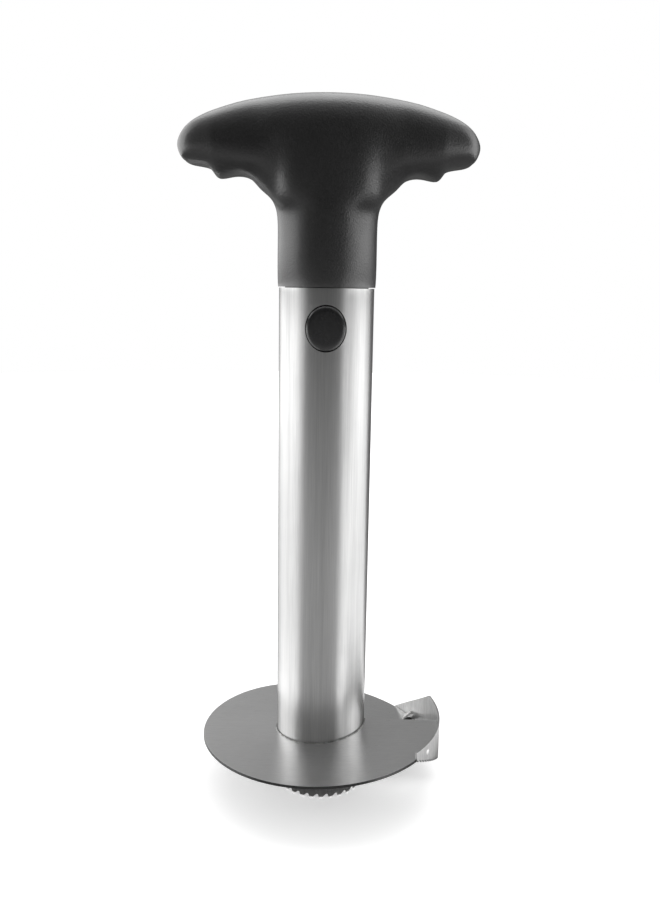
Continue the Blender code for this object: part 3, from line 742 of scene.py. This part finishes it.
def makeSlicingDisc(shape):
    disc = grow("slicingDisc", makeSpiralTree(shape), {
        "Inner Radius": tubeShape["radius"] + shape["tubeGap"], "Outer Radius": shape["radius"],
        "Lead Height": shape["leadHeight"], "Rise": shape["trailHeight"] - shape["leadHeight"], "Sweep": sweep,
        "Turn Steps": shape["turnSteps"], "Width Steps": shape["widthSteps"], "Material": finishes["disc"]})
    full = disc.vertex_groups.new(name="fullThickness")
    for vertex in disc.data.vertices:
        angle = math.atan2(vertex.co.y, vertex.co.x) % (2 * math.pi)
        low = vertex.co.z < shape["leadHeight"] + shape["thickness"]
        ground = min(angle, 2 * math.pi - angle) / shape["groundAngle"] if low else 1
        full.add([vertex.index], min(1, ground), "REPLACE")
    wall = addWall(disc, shape["thickness"], -1)
    wall.vertex_group = full.name
    wall.thickness_vertex_group = shape["edgeShare"]
    settle(disc)
    disc.vertex_groups.clear()
    cleaned(softenEdges(disc, shape["edge"]))
    smoothFlats(disc)
    return dress(disc, finishes["disc"], "blade_tube", "brushed_steel", "slicing_disc")


makeSlicingDisc(discShape)
print("spiral blade made")


# upright blade on the spiral's rim, with a toothed foot

bladeShape = {
    "innerGap": 0.00005,    # seam to the spiral's rim
    "outerRadius": 0.0450,
    "proud": 0.0028,        # above the trailing edge
    "noseProud": 0.0024,
    "skirt": 0.0003,
    "noseLift": 0.0006,
    "nose": math.radians(-41),
    "toe": math.radians(1),
    "crest": math.radians(16.6),
    "crestClear": math.radians(0.2),        # no other column lies this near the crest
    "heel": math.radians(45.5),
    "backColumns": 12,
    "teeth": 17,
    "toothDepth": 0.0011,
    "columnsPerHalfTooth": 2,
    "backSteps": 72,
    "rows": 8,
    "edge": 0.00012,
}


def bladeTop(angle, shape):
    crest = discShape["trailHeight"] + shape["proud"]
    if angle <= shape["crest"]:
        nose = discShape["trailHeight"] + shape["noseProud"]
        return nose + (crest - nose) * (angle - shape["nose"]) / (shape["crest"] - shape["nose"])
    heel = discHeight(shape["heel"]) + shape["skirt"]
    return crest + (heel - crest) * (angle - shape["crest"]) / (shape["heel"] - shape["crest"])


def bladeFoot(angle, shape):
    if angle >= shape["toe"]:
        rise = (angle - shape["toe"]) / (shape["heel"] - shape["toe"])
        under = discShape["thickness"] * min(1, rise * shape["backColumns"] / 2)
        return discHeight(angle) - shape["skirt"] - under
    toe = discHeight(shape["toe"]) - shape["skirt"]
    nose = discHeight(2 * math.pi + shape["nose"]) + shape["noseLift"]
    share = (angle - shape["nose"]) / (shape["toe"] - shape["nose"])
    notch = 1 - abs(share * 2 * shape["teeth"] % 2 - 1)
    return nose + (toe - nose) * share - notch * shape["toothDepth"]


def bladeAngles(shape):
    rake = shape["toe"] - shape["nose"]
    halves = 2 * shape["teeth"] * shape["columnsPerHalfTooth"]
    teeth = [shape["nose"] + rake * step / halves for step in range(halves + 1)]
    back = shape["heel"] - shape["toe"]
    rest = [shape["toe"] + back * step / shape["backSteps"] for step in range(1, shape["backSteps"] + 1)]
    kept = [angle for angle in teeth + rest if abs(angle - shape["crest"]) > shape["crestClear"]]
    return sorted(kept + [shape["crest"]])


def makeSideBlade(shape):
    innerRadius = discShape["radius"] + shape["innerGap"]
    bm = bmesh.new()
    columns = []
    for angle in bladeAngles(shape):
        foot = bladeFoot(angle, shape)
        top = bladeTop(angle, shape)
        heights = [foot + (top - foot) * row / shape["rows"] for row in range(shape["rows"] + 1)]
        columns.append([bm.verts.new((innerRadius * math.cos(angle), innerRadius * math.sin(angle), height))
                        for height in heights])
    for near, far in zip(columns, columns[1:]):
        for row in range(shape["rows"]):
            bm.faces.new((near[row], far[row], far[row + 1], near[row + 1]))
    blade = fromBmesh("sideBlade", bm)
    addWall(blade, shape["outerRadius"] - innerRadius, 1)
    settle(blade)
    softenEdges(blade, shape["edge"])
    roundNormals(blade)
    return dress(blade, finishes["blade"], "blade_tube", "brushed_steel", "side_blade")


makeSideBlade(bladeShape)
print("side blade made")


# welds: beads of uneven width along a path, and a spot on the upright blade

weldShape = {
    "profileSides": 10,
    "unevenScale": 900.0,
    "uneven": (0.40, 1.55),     # narrowest and widest share of the bead's radius
    "noiseRange": (0.35, 0.65),
    "joint": {"radius": 0.0168, "start": 2, "end": 356, "steps": 360, "size": 0.00024, "lift": 0.00005},
    "rim": {"start": (0.0340, 0.0222, 0.0122), "end": (0.0370, 0.0245, 0.0135), "steps": 24, "size": 0.00062},
    "spotAngle": math.radians(-31.5),
    "spotHeight": 0.0235,
    "spotProfile": ((0.0010, 0.0), (0.00085, 0.00010), (0.00050, 0.00018), (0.0, 0.00020)),
    "spotSteps": 24,
}


def makeBeadTree(shape):
    tree, given, result = newTree("weldBead", "GeometryNodeTree", {
        "Path": "Geometry", "Radius": 0.0003, "Sides": 10, "Scale": 900.0, "Narrow": 0.6, "Wide": 1.3,
        "Material": "Material"}, {"Geometry": "Geometry"})
    curve = addNode(tree, "GeometryNodeMeshToCurve", Mesh=given["Path"])
    place = tree.nodes.new("GeometryNodeInputPosition").outputs[0]
    bumpy = noise(tree, place, given["Scale"], 1.0)
    share = ranged(tree, bumpy, *shape["noiseRange"], given["Narrow"], given["Wide"])
    sized = addNode(tree, "GeometryNodeSetCurveRadius", Curve=curve.outputs[0], Radius=share)
    bead = pipeAlong(tree, sized.outputs[0], given["Sides"], given["Radius"])
    finishShape(tree, result, bead, given["Material"])
    return tree


def jointPath(run):
    points = []
    for step in range(run["steps"] + 1):
        angle = math.radians(run["start"] + (run["end"] - run["start"]) * step / run["steps"])
        points.append((run["radius"] * math.cos(angle), run["radius"] * math.sin(angle),
                       discHeight(angle) + run["lift"]))
    return points


def straightPath(run):
    return [Vector(run["start"]).lerp(Vector(run["end"]), step / run["steps"]) for step in range(run["steps"] + 1)]


def makeBead(name, tree, points, size, finish, shape):
    bead = grow(name, tree, {
        "Radius": size, "Sides": shape["profileSides"], "Scale": shape["unevenScale"],
        "Narrow": shape["uneven"][0], "Wide": shape["uneven"][1], "Material": finish},
        pathMesh(name, points))
    smooth(bead, fit["allSmooth"])
    return dress(bead, finish, "blade_tube", "brushed_steel")


def makeSpot(shape):
    spot = turned("spotWeld", shape["spotProfile"], shape["spotSteps"])
    radius = bladeShape["outerRadius"]
    outward = Matrix.Rotation(shape["spotAngle"], 4, "Z") @ Matrix.Translation((radius, 0, shape["spotHeight"]))
    spot.data.transform(outward @ Matrix.Rotation(quarterTurn, 4, "Y"))
    smooth(spot)
    # the spot's near-white finish is a painted highlight
    return dress(spot, finishes["paintedGlint"], "blade_tube", "brushed_steel")


beadTree = makeBeadTree(weldShape)
joint, rim = weldShape["joint"], weldShape["rim"]
makeBead("jointWeld", beadTree, jointPath(joint), joint["size"], finishes["weld"], weldShape)
# the rim bead's near-white finish is a painted highlight
makeBead("rimWeld", beadTree, straightPath(rim), rim["size"], finishes["paintedGlint"], weldShape)
makeSpot(weldShape)
print("welds made")


# handle: a smooth T form from a quarter cage, parted into two shells

handleShape = {
    "gap": 0.0003,              # parting gap between the shells
    "collarRadius": 0.0170,
    "halfSpan": 0.051,
    "crownHeight": 0.0628,
    "crownSwell": 0.0003,
    "wall": 0.0020,
    "edge": 0.00025,
    "edgeAngle": math.radians(55),      # edges sharper than this are rounded
    "sharpAngle": math.radians(50),
    # share of the half span; top and underside as shares of the crown height; half depth
    "wingShares": (
        (0.000, 1.000, 0.523, 1.000), (0.190, 0.996, 0.523, 0.955), (0.335, 0.986, 0.523, 0.865),
        (0.449, 0.972, 0.512, 0.800), (0.520, 0.961, 0.573, 0.775), (0.610, 0.944, 0.586, 0.740),
        (0.722, 0.916, 0.566, 0.690), (0.780, 0.899, 0.617, 0.645), (0.880, 0.860, 0.634, 0.545),
        (0.955, 0.808, 0.664, 0.390)),
    "easingWeights": (1, 2, 3, 2, 1),       # over neighbouring stations' undersides
    "tipHeightShare": 0.738,
    "shoulderShare": 0.79,
    # rings down the collar: radius across and deep, height at the front and the side, bulge
    "webShares": ((1.160, 1.008, 0.528, 0.473, 0.75), (1.030, 1.002, 0.407, 0.400, 0.93),
                  (1.000, 1.000, 0.270, 0.270, 1.00), (1.000, 1.000, 0.045, 0.045, 1.00)),
    "ringStep": math.radians(30),
    "foot": -0.006,             # the form runs on below the collar's rim and is cut there
    "settleRounds": 7,
    "levels": 3,
}


def easedUnderside(station, shape):
    shares, weights = shape["wingShares"], shape["easingWeights"]
    reach = len(weights) // 2
    near = [shares[min(max(station + step, 0), len(shares) - 1)][2] for step in range(-reach, reach + 1)]
    return sum(weight * share for weight, share in zip(weights, near)) / sum(weights)


def wingLoop(station, shape):
    out, top, underside, depth = shape["wingShares"][station]
    crown = shape["crownHeight"]
    across = out * shape["halfSpan"]
    deep = depth * (shape["collarRadius"] + shape["crownSwell"])
    eased = easedUnderside(station, shape) * crown
    middle = (top * crown + eased) / 2
    half = (top * crown - eased) / 2
    full = shape["shoulderShare"]
    return [Vector((across, 0, top * crown)), Vector((across, -deep * full, middle + half * full)),
            Vector((across, -deep, middle)), Vector((across, -deep * full, middle - half * full)),
            Vector((across, 0, underside * crown))]


def webRing(shares, shape):
    wide, deep, front, side, bulge = shares
    ring = []
    for step in range(4):
        turn = shape["ringStep"] * step
        across = math.sin(turn) ** bulge
        forward = max(0, math.cos(turn)) ** bulge if step < 3 else 0
        height = shape["crownHeight"] * (front + (side - front) * across ** 2)
        ring.append(Vector((wide * shape["collarRadius"] * across, -deep * shape["collarRadius"] * forward, height)))
    return ring


def quarterCage(shape):
    rings = [webRing(shares, shape) for shares in shape["webShares"]]
    turns = [shape["ringStep"] * step for step in range(4)]
    radius = shape["collarRadius"]
    rings.append([Vector((radius * math.sin(turn), -radius * math.cos(turn), shape["foot"])) for turn in turns])
    loops = [wingLoop(station, shape) for station in range(len(shape["wingShares"]))]
    for station in range(3):
        loops[station][3] = rings[0][station]

    bm = bmesh.new()
    wing = [[bm.verts.new(point) for point in loop[:4]] for loop in loops[:3]]
    wing += [[bm.verts.new(point) for point in loop] for loop in loops[3:]]
    corner = bm.verts.new(rings[0][3])
    wing[2].append(corner)
    tip = bm.verts.new((shape["halfSpan"], 0, shape["tipHeightShare"] * shape["crownHeight"]))
    collar = [[wing[0][3], wing[1][3], wing[2][3], corner]]
    collar += [[bm.verts.new(point) for point in ring] for ring in rings[1:]]
    centre = bm.verts.new((0, 0, shape["foot"]))

    for inner, outer in zip(wing, wing[1:]):
        for row in range(min(len(inner), len(outer)) - 1):
            bm.faces.new((inner[row], inner[row + 1], outer[row + 1], outer[row]))
    last = wing[-1]
    bm.faces.new((last[0], last[1], last[2], tip))
    bm.faces.new((tip, last[2], last[3], last[4]))
    for upper, lower in zip(collar, collar[1:]):
        for step in range(3):
            bm.faces.new((upper[step], lower[step], lower[step + 1], upper[step + 1]))
    bm.faces.new((*reversed(collar[-1]), centre))
    bmesh.ops.recalc_face_normals(bm, faces=bm.faces)
    bm.verts.index_update()
    fixed = {vertex.index for vertex in (*collar[-1], centre)}
    return bm, fixed


def makeHandleForm(shape):
    bm, fixed = quarterCage(shape)
    form = fromBmesh("handleForm", bm)
    mirror = form.modifiers.new("halves", "MIRROR")
    mirror.use_axis = (True, True, False)
    mirror.use_clip = True
    mirror.merge_threshold = fit["merge"]
    smoothing = form.modifiers.new("smoothing", "SUBSURF")
    smoothing.levels = shape["levels"]
    smoothing.render_levels = shape["levels"]
    goals = [vertex.co.copy() for vertex in form.data.vertices]
    for _ in range(shape["settleRounds"]):
        # the cage moves until the smooth form passes through its own section points
        bpy.context.view_layer.update()
        shown = form.evaluated_get(bpy.context.evaluated_depsgraph_get()).data.vertices
        moves = [goal - shown[index].co for index, goal in enumerate(goals)]
        for index, move in enumerate(moves):
            if index not in fixed:
                form.data.vertices[index].co += move
        form.data.update()
    settle(form)
    form.data.transform(Matrix.Translation((0, 0, rimHeight)))
    return form


def makeShell(name, form, facing, shape):
    # facing is -1 for the front shell and 1 for the rear one
    bm = bmesh.new()
    bm.from_mesh(form.data)
    for place, outward in (((0, facing * shape["gap"] / 2, 0), (0, -facing, 0)), ((0, 0, rimHeight), (0, 0, -1))):
        bmesh.ops.bisect_plane(bm, geom=bm.verts[:] + bm.edges[:] + bm.faces[:], plane_co=place,
                               plane_no=outward, clear_outer=True)
    shell = fromBmesh(name, bm)
    addWall(shell, shape["wall"], -1)
    return settle(shell)


screwShape = {
    "radius": 0.0014,
    "headRadius": 0.0028,
    "headHeight": 0.0018,
    "headRounding": 0.0006,
    "slotWidth": 0.0007,
    "slotDepth": 0.0009,
    "threadPitch": 0.0006,
    "threadDepth": 0.00018,
    "play": 0.0003,             # round the head in its counterbore
    "bossWall": 0.0014,
    # how far each boss reaches, as a share of the collar's radius, so that it ends inside the wall
    "wingBossShare": 0.62,
    "neckBossShare": 0.95,
    "neckBossDepth": 0.0024,    # in front of the screw's seat
    "bossSteps": 48,
    "boreSteps": 64,
    "roundSteps": 5,            # round the head's edge
    "turnSteps": 48,
    "threadSteps": 24,          # per turn
    "threadSides": 6,
}


def screwPlaces():
    # side, place across, height, seat plane and end, from the frame's own screws
    places = []
    for side in ("left", "right", "upper", "lower"):
        low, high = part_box("handle_screw_" + side)
        seat = high.y - screwShape["headHeight"] - fit["gap"]
        places.append((side, (low.x + high.x) / 2, (low.z + high.z) / 2, seat, low.y))
    return places


def addScrewSeats(shell, shape):
    head = screwShape["headRadius"] + screwShape["play"]
    shank = screwShape["radius"] + screwShape["play"]
    bossRadius = head + screwShape["bossWall"]
    for _, across, height, seat, _ in screwPlaces():
        middle = (across, height)
        depth = shape["collarRadius"] * screwShape["wingBossShare" if across else "neckBossShare"]
        start = shape["gap"] / 2 if across else seat - screwShape["neckBossDepth"]
        boss = rodAlongY("boss", bossRadius, bossRadius, start, depth, middle, screwShape["bossSteps"])
        combine(shell, "UNION", boss)
        wide = rodAlongY("counterbore", head, head, seat, 2 * shape["collarRadius"], middle, screwShape["boreSteps"])
        narrow = rodAlongY("shankHole", shank, shank, -shape["collarRadius"], seat + fit["gap"], middle,
                           screwShape["bossSteps"])
        combine(shell, "DIFFERENCE", wide, narrow)
    return shell


def makeHandle(shape):
    form = makeHandleForm(shape)
    front = makeShell("handleFrontShell", form, -1, shape)
    rear = makeShell("handleRearShell", form, 1, shape)
    addScrewSeats(rear, shape)
    discard(form)
    for shell, node in ((front, "handle_front_shell"), (rear, "handle_rear_shell")):
        softenEdges(shell, shape["edge"], shape["edgeAngle"])
        if shell is rear:
            cleaned(shell)      # of what its screw seats leave
        smooth(shell, shape["sharpAngle"])
        dress(shell, finishes["handle"], "handle", "handle_plastic", node)


makeHandle(handleShape)
print("handle shells made")


# screws: turned, cross-slotted, with a helical thread on the shank

def makeHelixTree():
    tree, given, result = newTree("helixWire", "GeometryNodeTree", {
        "Coil Radius": 0.004, "Length": 0.02, "Turns": 7.0, "Steps Per Turn": 32, "Wire Radius": 0.0004,
        "Wire Sides": 10, "Material": "Material"}, {"Geometry": "Geometry"})
    steps = calc(tree, "MULTIPLY", given["Turns"], given["Steps Per Turn"])
    line = addNode(tree, "GeometryNodeMeshLine", Count=calc(tree, "ADD", steps, 1.0))
    index = tree.nodes.new("GeometryNodeInputIndex").outputs[0]
    share = calc(tree, "DIVIDE", index, steps)
    angle = calc(tree, "MULTIPLY", calc(tree, "MULTIPLY", share, given["Turns"]), 2 * math.pi)
    place = wrapPoint(tree, given["Coil Radius"], angle, calc(tree, "MULTIPLY", share, given["Length"]))
    coiled = addNode(tree, "GeometryNodeSetPosition", Geometry=line.outputs[0], Position=place)
    curve = addNode(tree, "GeometryNodeMeshToCurve", Mesh=coiled.outputs[0])
    wire = pipeAlong(tree, curve.outputs[0], given["Wire Sides"], given["Wire Radius"])
    finishShape(tree, result, wire, given["Material"])
    return tree


helixTree = makeHelixTree()


def joinMeshes(name, objects):
    bm = bmesh.new()
    for obj in objects:
        bm.from_mesh(obj.data)
    discard(*objects)
    return fromBmesh(name, bm)


def makeScrew(side, across, height, seat, end, shape):
    # modelled head up along Z, then laid along Y with its head to the rear
    top = fit["gap"] + shape["headHeight"]
    length = seat - end
    rounding = shape["headRounding"]
    arc = roundedRim(shape["headRadius"], top, rounding, rounding, shape["roundSteps"])
    core = shape["radius"] - shape["threadDepth"]
    profile = [(0, top), *arc, (shape["headRadius"], fit["gap"]), (shape["radius"], fit["gap"]),
               (core, fit["gap"] - shape["radius"] / 2), (core, core - length), (0, -length)]
    screw = turned("handleScrew" + side.capitalize(), profile, shape["turnSteps"])
    half = shape["slotWidth"] / 2
    reach = shape["headRadius"] - rounding
    floor = top - shape["slotDepth"]
    combine(screw, "DIFFERENCE", block("slotA", (-reach, -half, floor), (reach, half, top + fit["overrun"])),
            block("slotB", (-half, -reach, floor), (half, reach, top + fit["overrun"])))
    threadLength = length - 2 * shape["radius"] - fit["gap"]
    thread = grow("thread", helixTree, {
        "Coil Radius": core, "Length": threadLength, "Turns": threadLength / shape["threadPitch"],
        "Steps Per Turn": shape["threadSteps"], "Wire Radius": shape["threadDepth"],
        "Wire Sides": shape["threadSides"], "Material": finishes["screw"]})
    thread.data.transform(Matrix.Translation((0, 0, shape["radius"] - length)))
    screw = cleaned(joinMeshes(screw.name, [screw, thread]))
    screw.data.transform(Matrix.Translation((across, seat, height)) @ Matrix.Rotation(-quarterTurn, 4, "X"))
    smooth(screw)
    return dress(screw, finishes["screw"], "handle", "screw_steel", "handle_screw_" + side)


for place in screwPlaces():
    makeScrew(*place, screwShape)
print("screws made")


# stem, plug, buttons and spring

stemShape = {
    "edge": 0.00015,
    "edgeAngle": math.radians(50),
}
springShape = {
    "wireRadius": 0.0004,
    "wireSides": 12,
    "turns": 7.0,
    "stepsPerTurn": 40,
}


def makeStemPieces(shape):
    for name, node in (("handleStem", "handle_stem"), ("stemPlug", "stem_plug")):
        piece = smoothCopy(name, node)
        softenEdges(piece, shape["edge"], shape["edgeAngle"])
        smoothFlats(piece)
        dress(piece, finishes["stem"], "handle", "handle_plastic", node)


def makeButton(name, node, facing, shape):
    low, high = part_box(node)
    near, far = (low.y, high.y) if facing > 0 else (-high.y, -low.y)
    start = near + shape["capShare"] * (far - near)
    length = far - start
    half = shape["width"] / 2
    rim = roundedRim(half, length - shape["dome"], shape["edgeWidth"], shape["edgeHeight"], shape["edgeSteps"])
    button = turned(name, [(0, length), *rim, (half, 0), (0, 0)], shape["steps"])
    oval = Matrix.Diagonal((1, shape["height"] / shape["width"], 1, 1))
    laid = Matrix.Rotation(-facing * quarterTurn, 4, "X")
    place = Matrix.Translation((0, facing * start, rimHeight - shape["drop"]))
    button.data.transform(place @ laid @ oval)
    # the flange and peg behind the tube come from the frame's own button
    hidden = smoothCopy(name + "Back", node)
    reach = shape["cutReach"]
    inward, outward = (0, reach) if facing > 0 else (reach, 0)
    cutter = block("backCutter", (low.x - reach, facing * start - inward, low.z - reach),
                   (high.x + reach, facing * start + outward, high.z + reach))
    combine(hidden, "DIFFERENCE", cutter)
    button = joinMeshes(name, [button, hidden])
    smooth(button)
    return dress(button, finishes["button"], node, "button_plastic", node)


def makeSpring(shape):
    low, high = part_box("button_spring")
    length = high.y - low.y - 2 * shape["wireRadius"]
    spring = grow("buttonSpring", helixTree, {
        "Coil Radius": (high.x - low.x) / 2 - shape["wireRadius"], "Length": length, "Turns": shape["turns"],
        "Steps Per Turn": shape["stepsPerTurn"], "Wire Radius": shape["wireRadius"],
        "Wire Sides": shape["wireSides"], "Material": finishes["spring"]})
    middle = rimHeight - buttonShape["drop"]
    laid = Matrix.Translation((0, -length / 2, middle)) @ Matrix.Rotation(-quarterTurn, 4, "X")
    spring.data.transform(laid)
    smooth(spring)
    return dress(spring, finishes["spring"], "handle", "spring_steel", "button_spring")


makeStemPieces(stemShape)
makeButton("frontButton", "front_button", -1, buttonShape)
makeButton("rearButton", "rear_button", 1, buttonShape)
makeSpring(springShape)
print("stem, plug, buttons and spring made")


# studio: pale floor, white surround, soft boxes, and cards that only gloss sees

studio = {
    "floorRadius": 1.6,
    "floorSteps": 96,
    "floorRoughness": 0.9,
    "floorColour": grey(0.80),
    "floorGlow": (0.42, 0.80),      # white added for camera and gloss, near the object and far off
    "glowReach": (0.35, 1.20),
    "nearGlow": 0.60,               # white added for gloss alone, round the foot
    "nearGlowReach": (0.06, 0.16),
    "diffuseSurround": 0.75,
    # name, azimuth, distance and height of the middle, width and height, brightness
    "softBoxes": (
        ("leftBox", math.radians(-108), 0.80, 0.30, (1.40, 1.0), 0.80),
        ("rightBox", math.radians(77), 0.80, 0.30, (1.16, 1.0), 0.75),
        ("topBox", math.radians(180), 0.30, 0.98, (1.2, 0.9), 1.4),
    ),
    "aim": (0.0, 0.0, 0.13),
}
# cards, row by row: depth, height, left and right end, brightness at the left and right end
cards = {
    "frontCard": (
        (-0.05, 0.001, -0.075, 0.035, 0.40, 0.40), (-0.24, 0.001, -0.400, 0.228, 0.44, 0.44),
        (-0.24, 0.045, -0.380, 0.228, 0.34, 0.34), (-0.24, 0.110, -0.330, 0.220, 0.26, 0.26),
        (-0.24, 0.180, -0.290, 0.216, 0.12, 0.12), (-0.24, 0.200, -0.560, 0.280, 0.05, 0.05),
        (-0.24, 0.235, -0.620, 0.310, 0.02, 0.02), (-0.24, 0.270, -0.900, 0.480, 0.02, 0.02),
        (-0.24, 0.360, -0.900, 0.800, 0.02, 0.02), (-0.24, 0.520, -0.900, 0.800, 0.28, 0.28),
        (-0.24, 0.900, -0.900, 0.800, 0.50, 0.50), (-0.14, 0.950, -0.900, 0.800, 0.60, 0.60)),
    "rearCard": (
        (0.07, 0.001, -0.050, 0.060, 0.50, 0.40), (0.30, 0.001, -0.130, 0.384, 0.36, 0.04),
        (0.30, 0.100, -0.130, 0.384, 0.50, 0.04), (0.30, 0.150, -0.130, 0.384, 0.38, 0.05),
        (0.30, 0.230, -0.130, 0.384, 0.10, 0.04), (0.30, 0.420, -0.200, 0.384, 0.22, 0.05)),
    # behind and level with the camera, so that neither the tube nor the collar mirrors it
    "shelfCard": ((0.060, rimHeight, -0.150, 0.200, 0.30, 0.10), (0.250, rimHeight, -0.250, 0.300, 0.35, 0.10)),
    # low on the right, for the light that goes by way of the spiral to the tube's foot and back
    "lowGlow": ((-0.110, 0.085, 0.112, 0.340, 1.00, 1.00), (-0.110, 0.184, 0.112, 0.340, 1.00, 1.00)),
    # on the floor by the upright blade
    "flankCard": ((-0.045, 0.0007, 0.062, 0.125, 0.62, 0.62), (0.060, 0.0007, 0.062, 0.125, 0.62, 0.62)),
}
# pairs of cards under the wings, level with the camera too: front and back end, inner and outer reach,
# brightness at each reach
wingCards = {
    "nearWing": (-0.055, 0.035, 0.028, 0.074, 0.04, 0.26),
    "farWing": (-0.120, 0.100, 0.074, 0.190, 0.26, 0.04),
}
# round the foot, under the spiral's rim: painted shade, a dark ring that only gloss sees, standing in for the shaded
# floor there
footShadeCard = {
    "inner": 0.0168,
    "outer": 0.066,
    "height": 0.0005,
    "brightness": 0.08,
    "steps": 64,
}


def around(azimuth, distance, height):
    # azimuth 0 is towards the camera, and grows towards +X
    return Vector((distance * math.sin(azimuth), -distance * math.cos(azimuth), height))


def addSoftBox(name, azimuth, distance, height, size, brightness, aim):
    data = bpy.data.lights.new(name, "AREA")
    data.shape = "RECTANGLE"
    data.size, data.size_y = size
    data.energy = brightness * math.pi * size[0] * size[1]
    box = bpy.data.objects.new(name, data)
    box.location = around(azimuth, distance, height)
    box.rotation_euler = (box.location - Vector(aim)).to_track_quat("Z", "Y").to_euler()
    bpy.context.scene.collection.objects.link(box)


def addSurround(look):
    world = bpy.data.worlds.new("studioSurround")
    bpy.context.scene.world = world
    world.use_nodes = True
    tree = world.node_tree
    seen = mixColour(tree, backgroundRays(tree), grey(look["diffuseSurround"]), grey(1.0))
    feed(tree, tree.nodes["Background"].inputs["Color"], seen)


def backgroundRays(tree):
    # 1 for the rays that show the white background: camera, gloss and clear materials
    path = tree.nodes.new("ShaderNodeLightPath").outputs
    seen = calc(tree, "MAXIMUM", path["Is Camera Ray"], path["Is Glossy Ray"])
    return calc(tree, "MAXIMUM", seen, path["Is Transmission Ray"])


def addGlow(tree, shader, brightness):
    white = addNode(tree, "ShaderNodeCombineColor", Red=brightness, Green=brightness, Blue=brightness)
    feed(tree, shader.inputs["Emission Color"], white.outputs[0])
    shader.inputs["Emission Strength"].default_value = 1.0


def addFloor(look):
    bm = bmesh.new()
    bmesh.ops.create_circle(bm, cap_ends=True, segments=look["floorSteps"], radius=look["floorRadius"])
    floor = fromBmesh("studioFloor", bm)
    material, tree, shader, coords = startMaterial("paleFloor")
    shader.inputs["Base Color"].default_value = (*look["floorColour"], 1)
    shader.inputs["Roughness"].default_value = look["floorRoughness"]
    shader.inputs["Specular IOR Level"].default_value = 0.0
    distance = vectorCalc(tree, "LENGTH", coords, output="Value")
    glow = ranged(tree, distance, *look["glowReach"], *look["floorGlow"], blend="SMOOTHSTEP")
    near = ranged(tree, distance, *look["nearGlowReach"], look["nearGlow"], 0.0)
    glossy = tree.nodes.new("ShaderNodeLightPath").outputs["Is Glossy Ray"]
    shown = calc(tree, "MULTIPLY", backgroundRays(tree), glow)
    addGlow(tree, shader, calc(tree, "ADD", shown, calc(tree, "MULTIPLY", glossy, near)))
    floor.data.materials.append(material)


def addFlatCard(name, rows):
    bm = bmesh.new()
    shade = bm.verts.layers.float.new("brightness")
    near = None
    for depth, height, left, right, leftGrey, rightGrey in rows:
        ends = [bm.verts.new((left, depth, height)), bm.verts.new((right, depth, height))]
        ends[0][shade], ends[1][shade] = leftGrey, rightGrey
        if near:
            bm.faces.new((near[0], near[1], ends[1], ends[0]))
        near = ends
    return fromBmesh(name, bm)


def addRingCard(name, look):
    card = turned(name, [(look["inner"], look["height"]), (look["outer"], look["height"])], look["steps"])
    shade = card.data.attributes.new("brightness", "FLOAT", "POINT")
    for item in shade.data:
        item.value = look["brightness"]
    return card


def finishCard(card):
    # nothing but gloss sees it
    material, tree, shader, _ = startMaterial(card.name)
    shader.inputs["Base Color"].default_value = (0, 0, 0, 1)
    shader.inputs["Specular IOR Level"].default_value = 0.0
    addGlow(tree, shader, addNode(tree, "ShaderNodeAttribute", {"attribute_name": "brightness"}).outputs["Fac"])
    card.data.materials.append(material)
    card.visible_camera = False
    card.visible_diffuse = False
    card.visible_transmission = False
    card.visible_shadow = False


addFloor(studio)
addSurround(studio)
for box in studio["softBoxes"]:
    addSoftBox(*box, studio["aim"])
for name, rows in cards.items():
    finishCard(addFlatCard(name, rows))
for name, (front, back, inner, outer, innerGrey, outerGrey) in wingCards.items():
    sides = {"Left": (-outer, -inner, outerGrey, innerGrey), "Right": (inner, outer, innerGrey, outerGrey)}
    for side, span in sides.items():
        finishCard(addFlatCard(name + side, [(depth, rimHeight, *span) for depth in (front, back)]))
finishCard(addRingCard("footShadeCard", footShadeCard))
print("studio set")
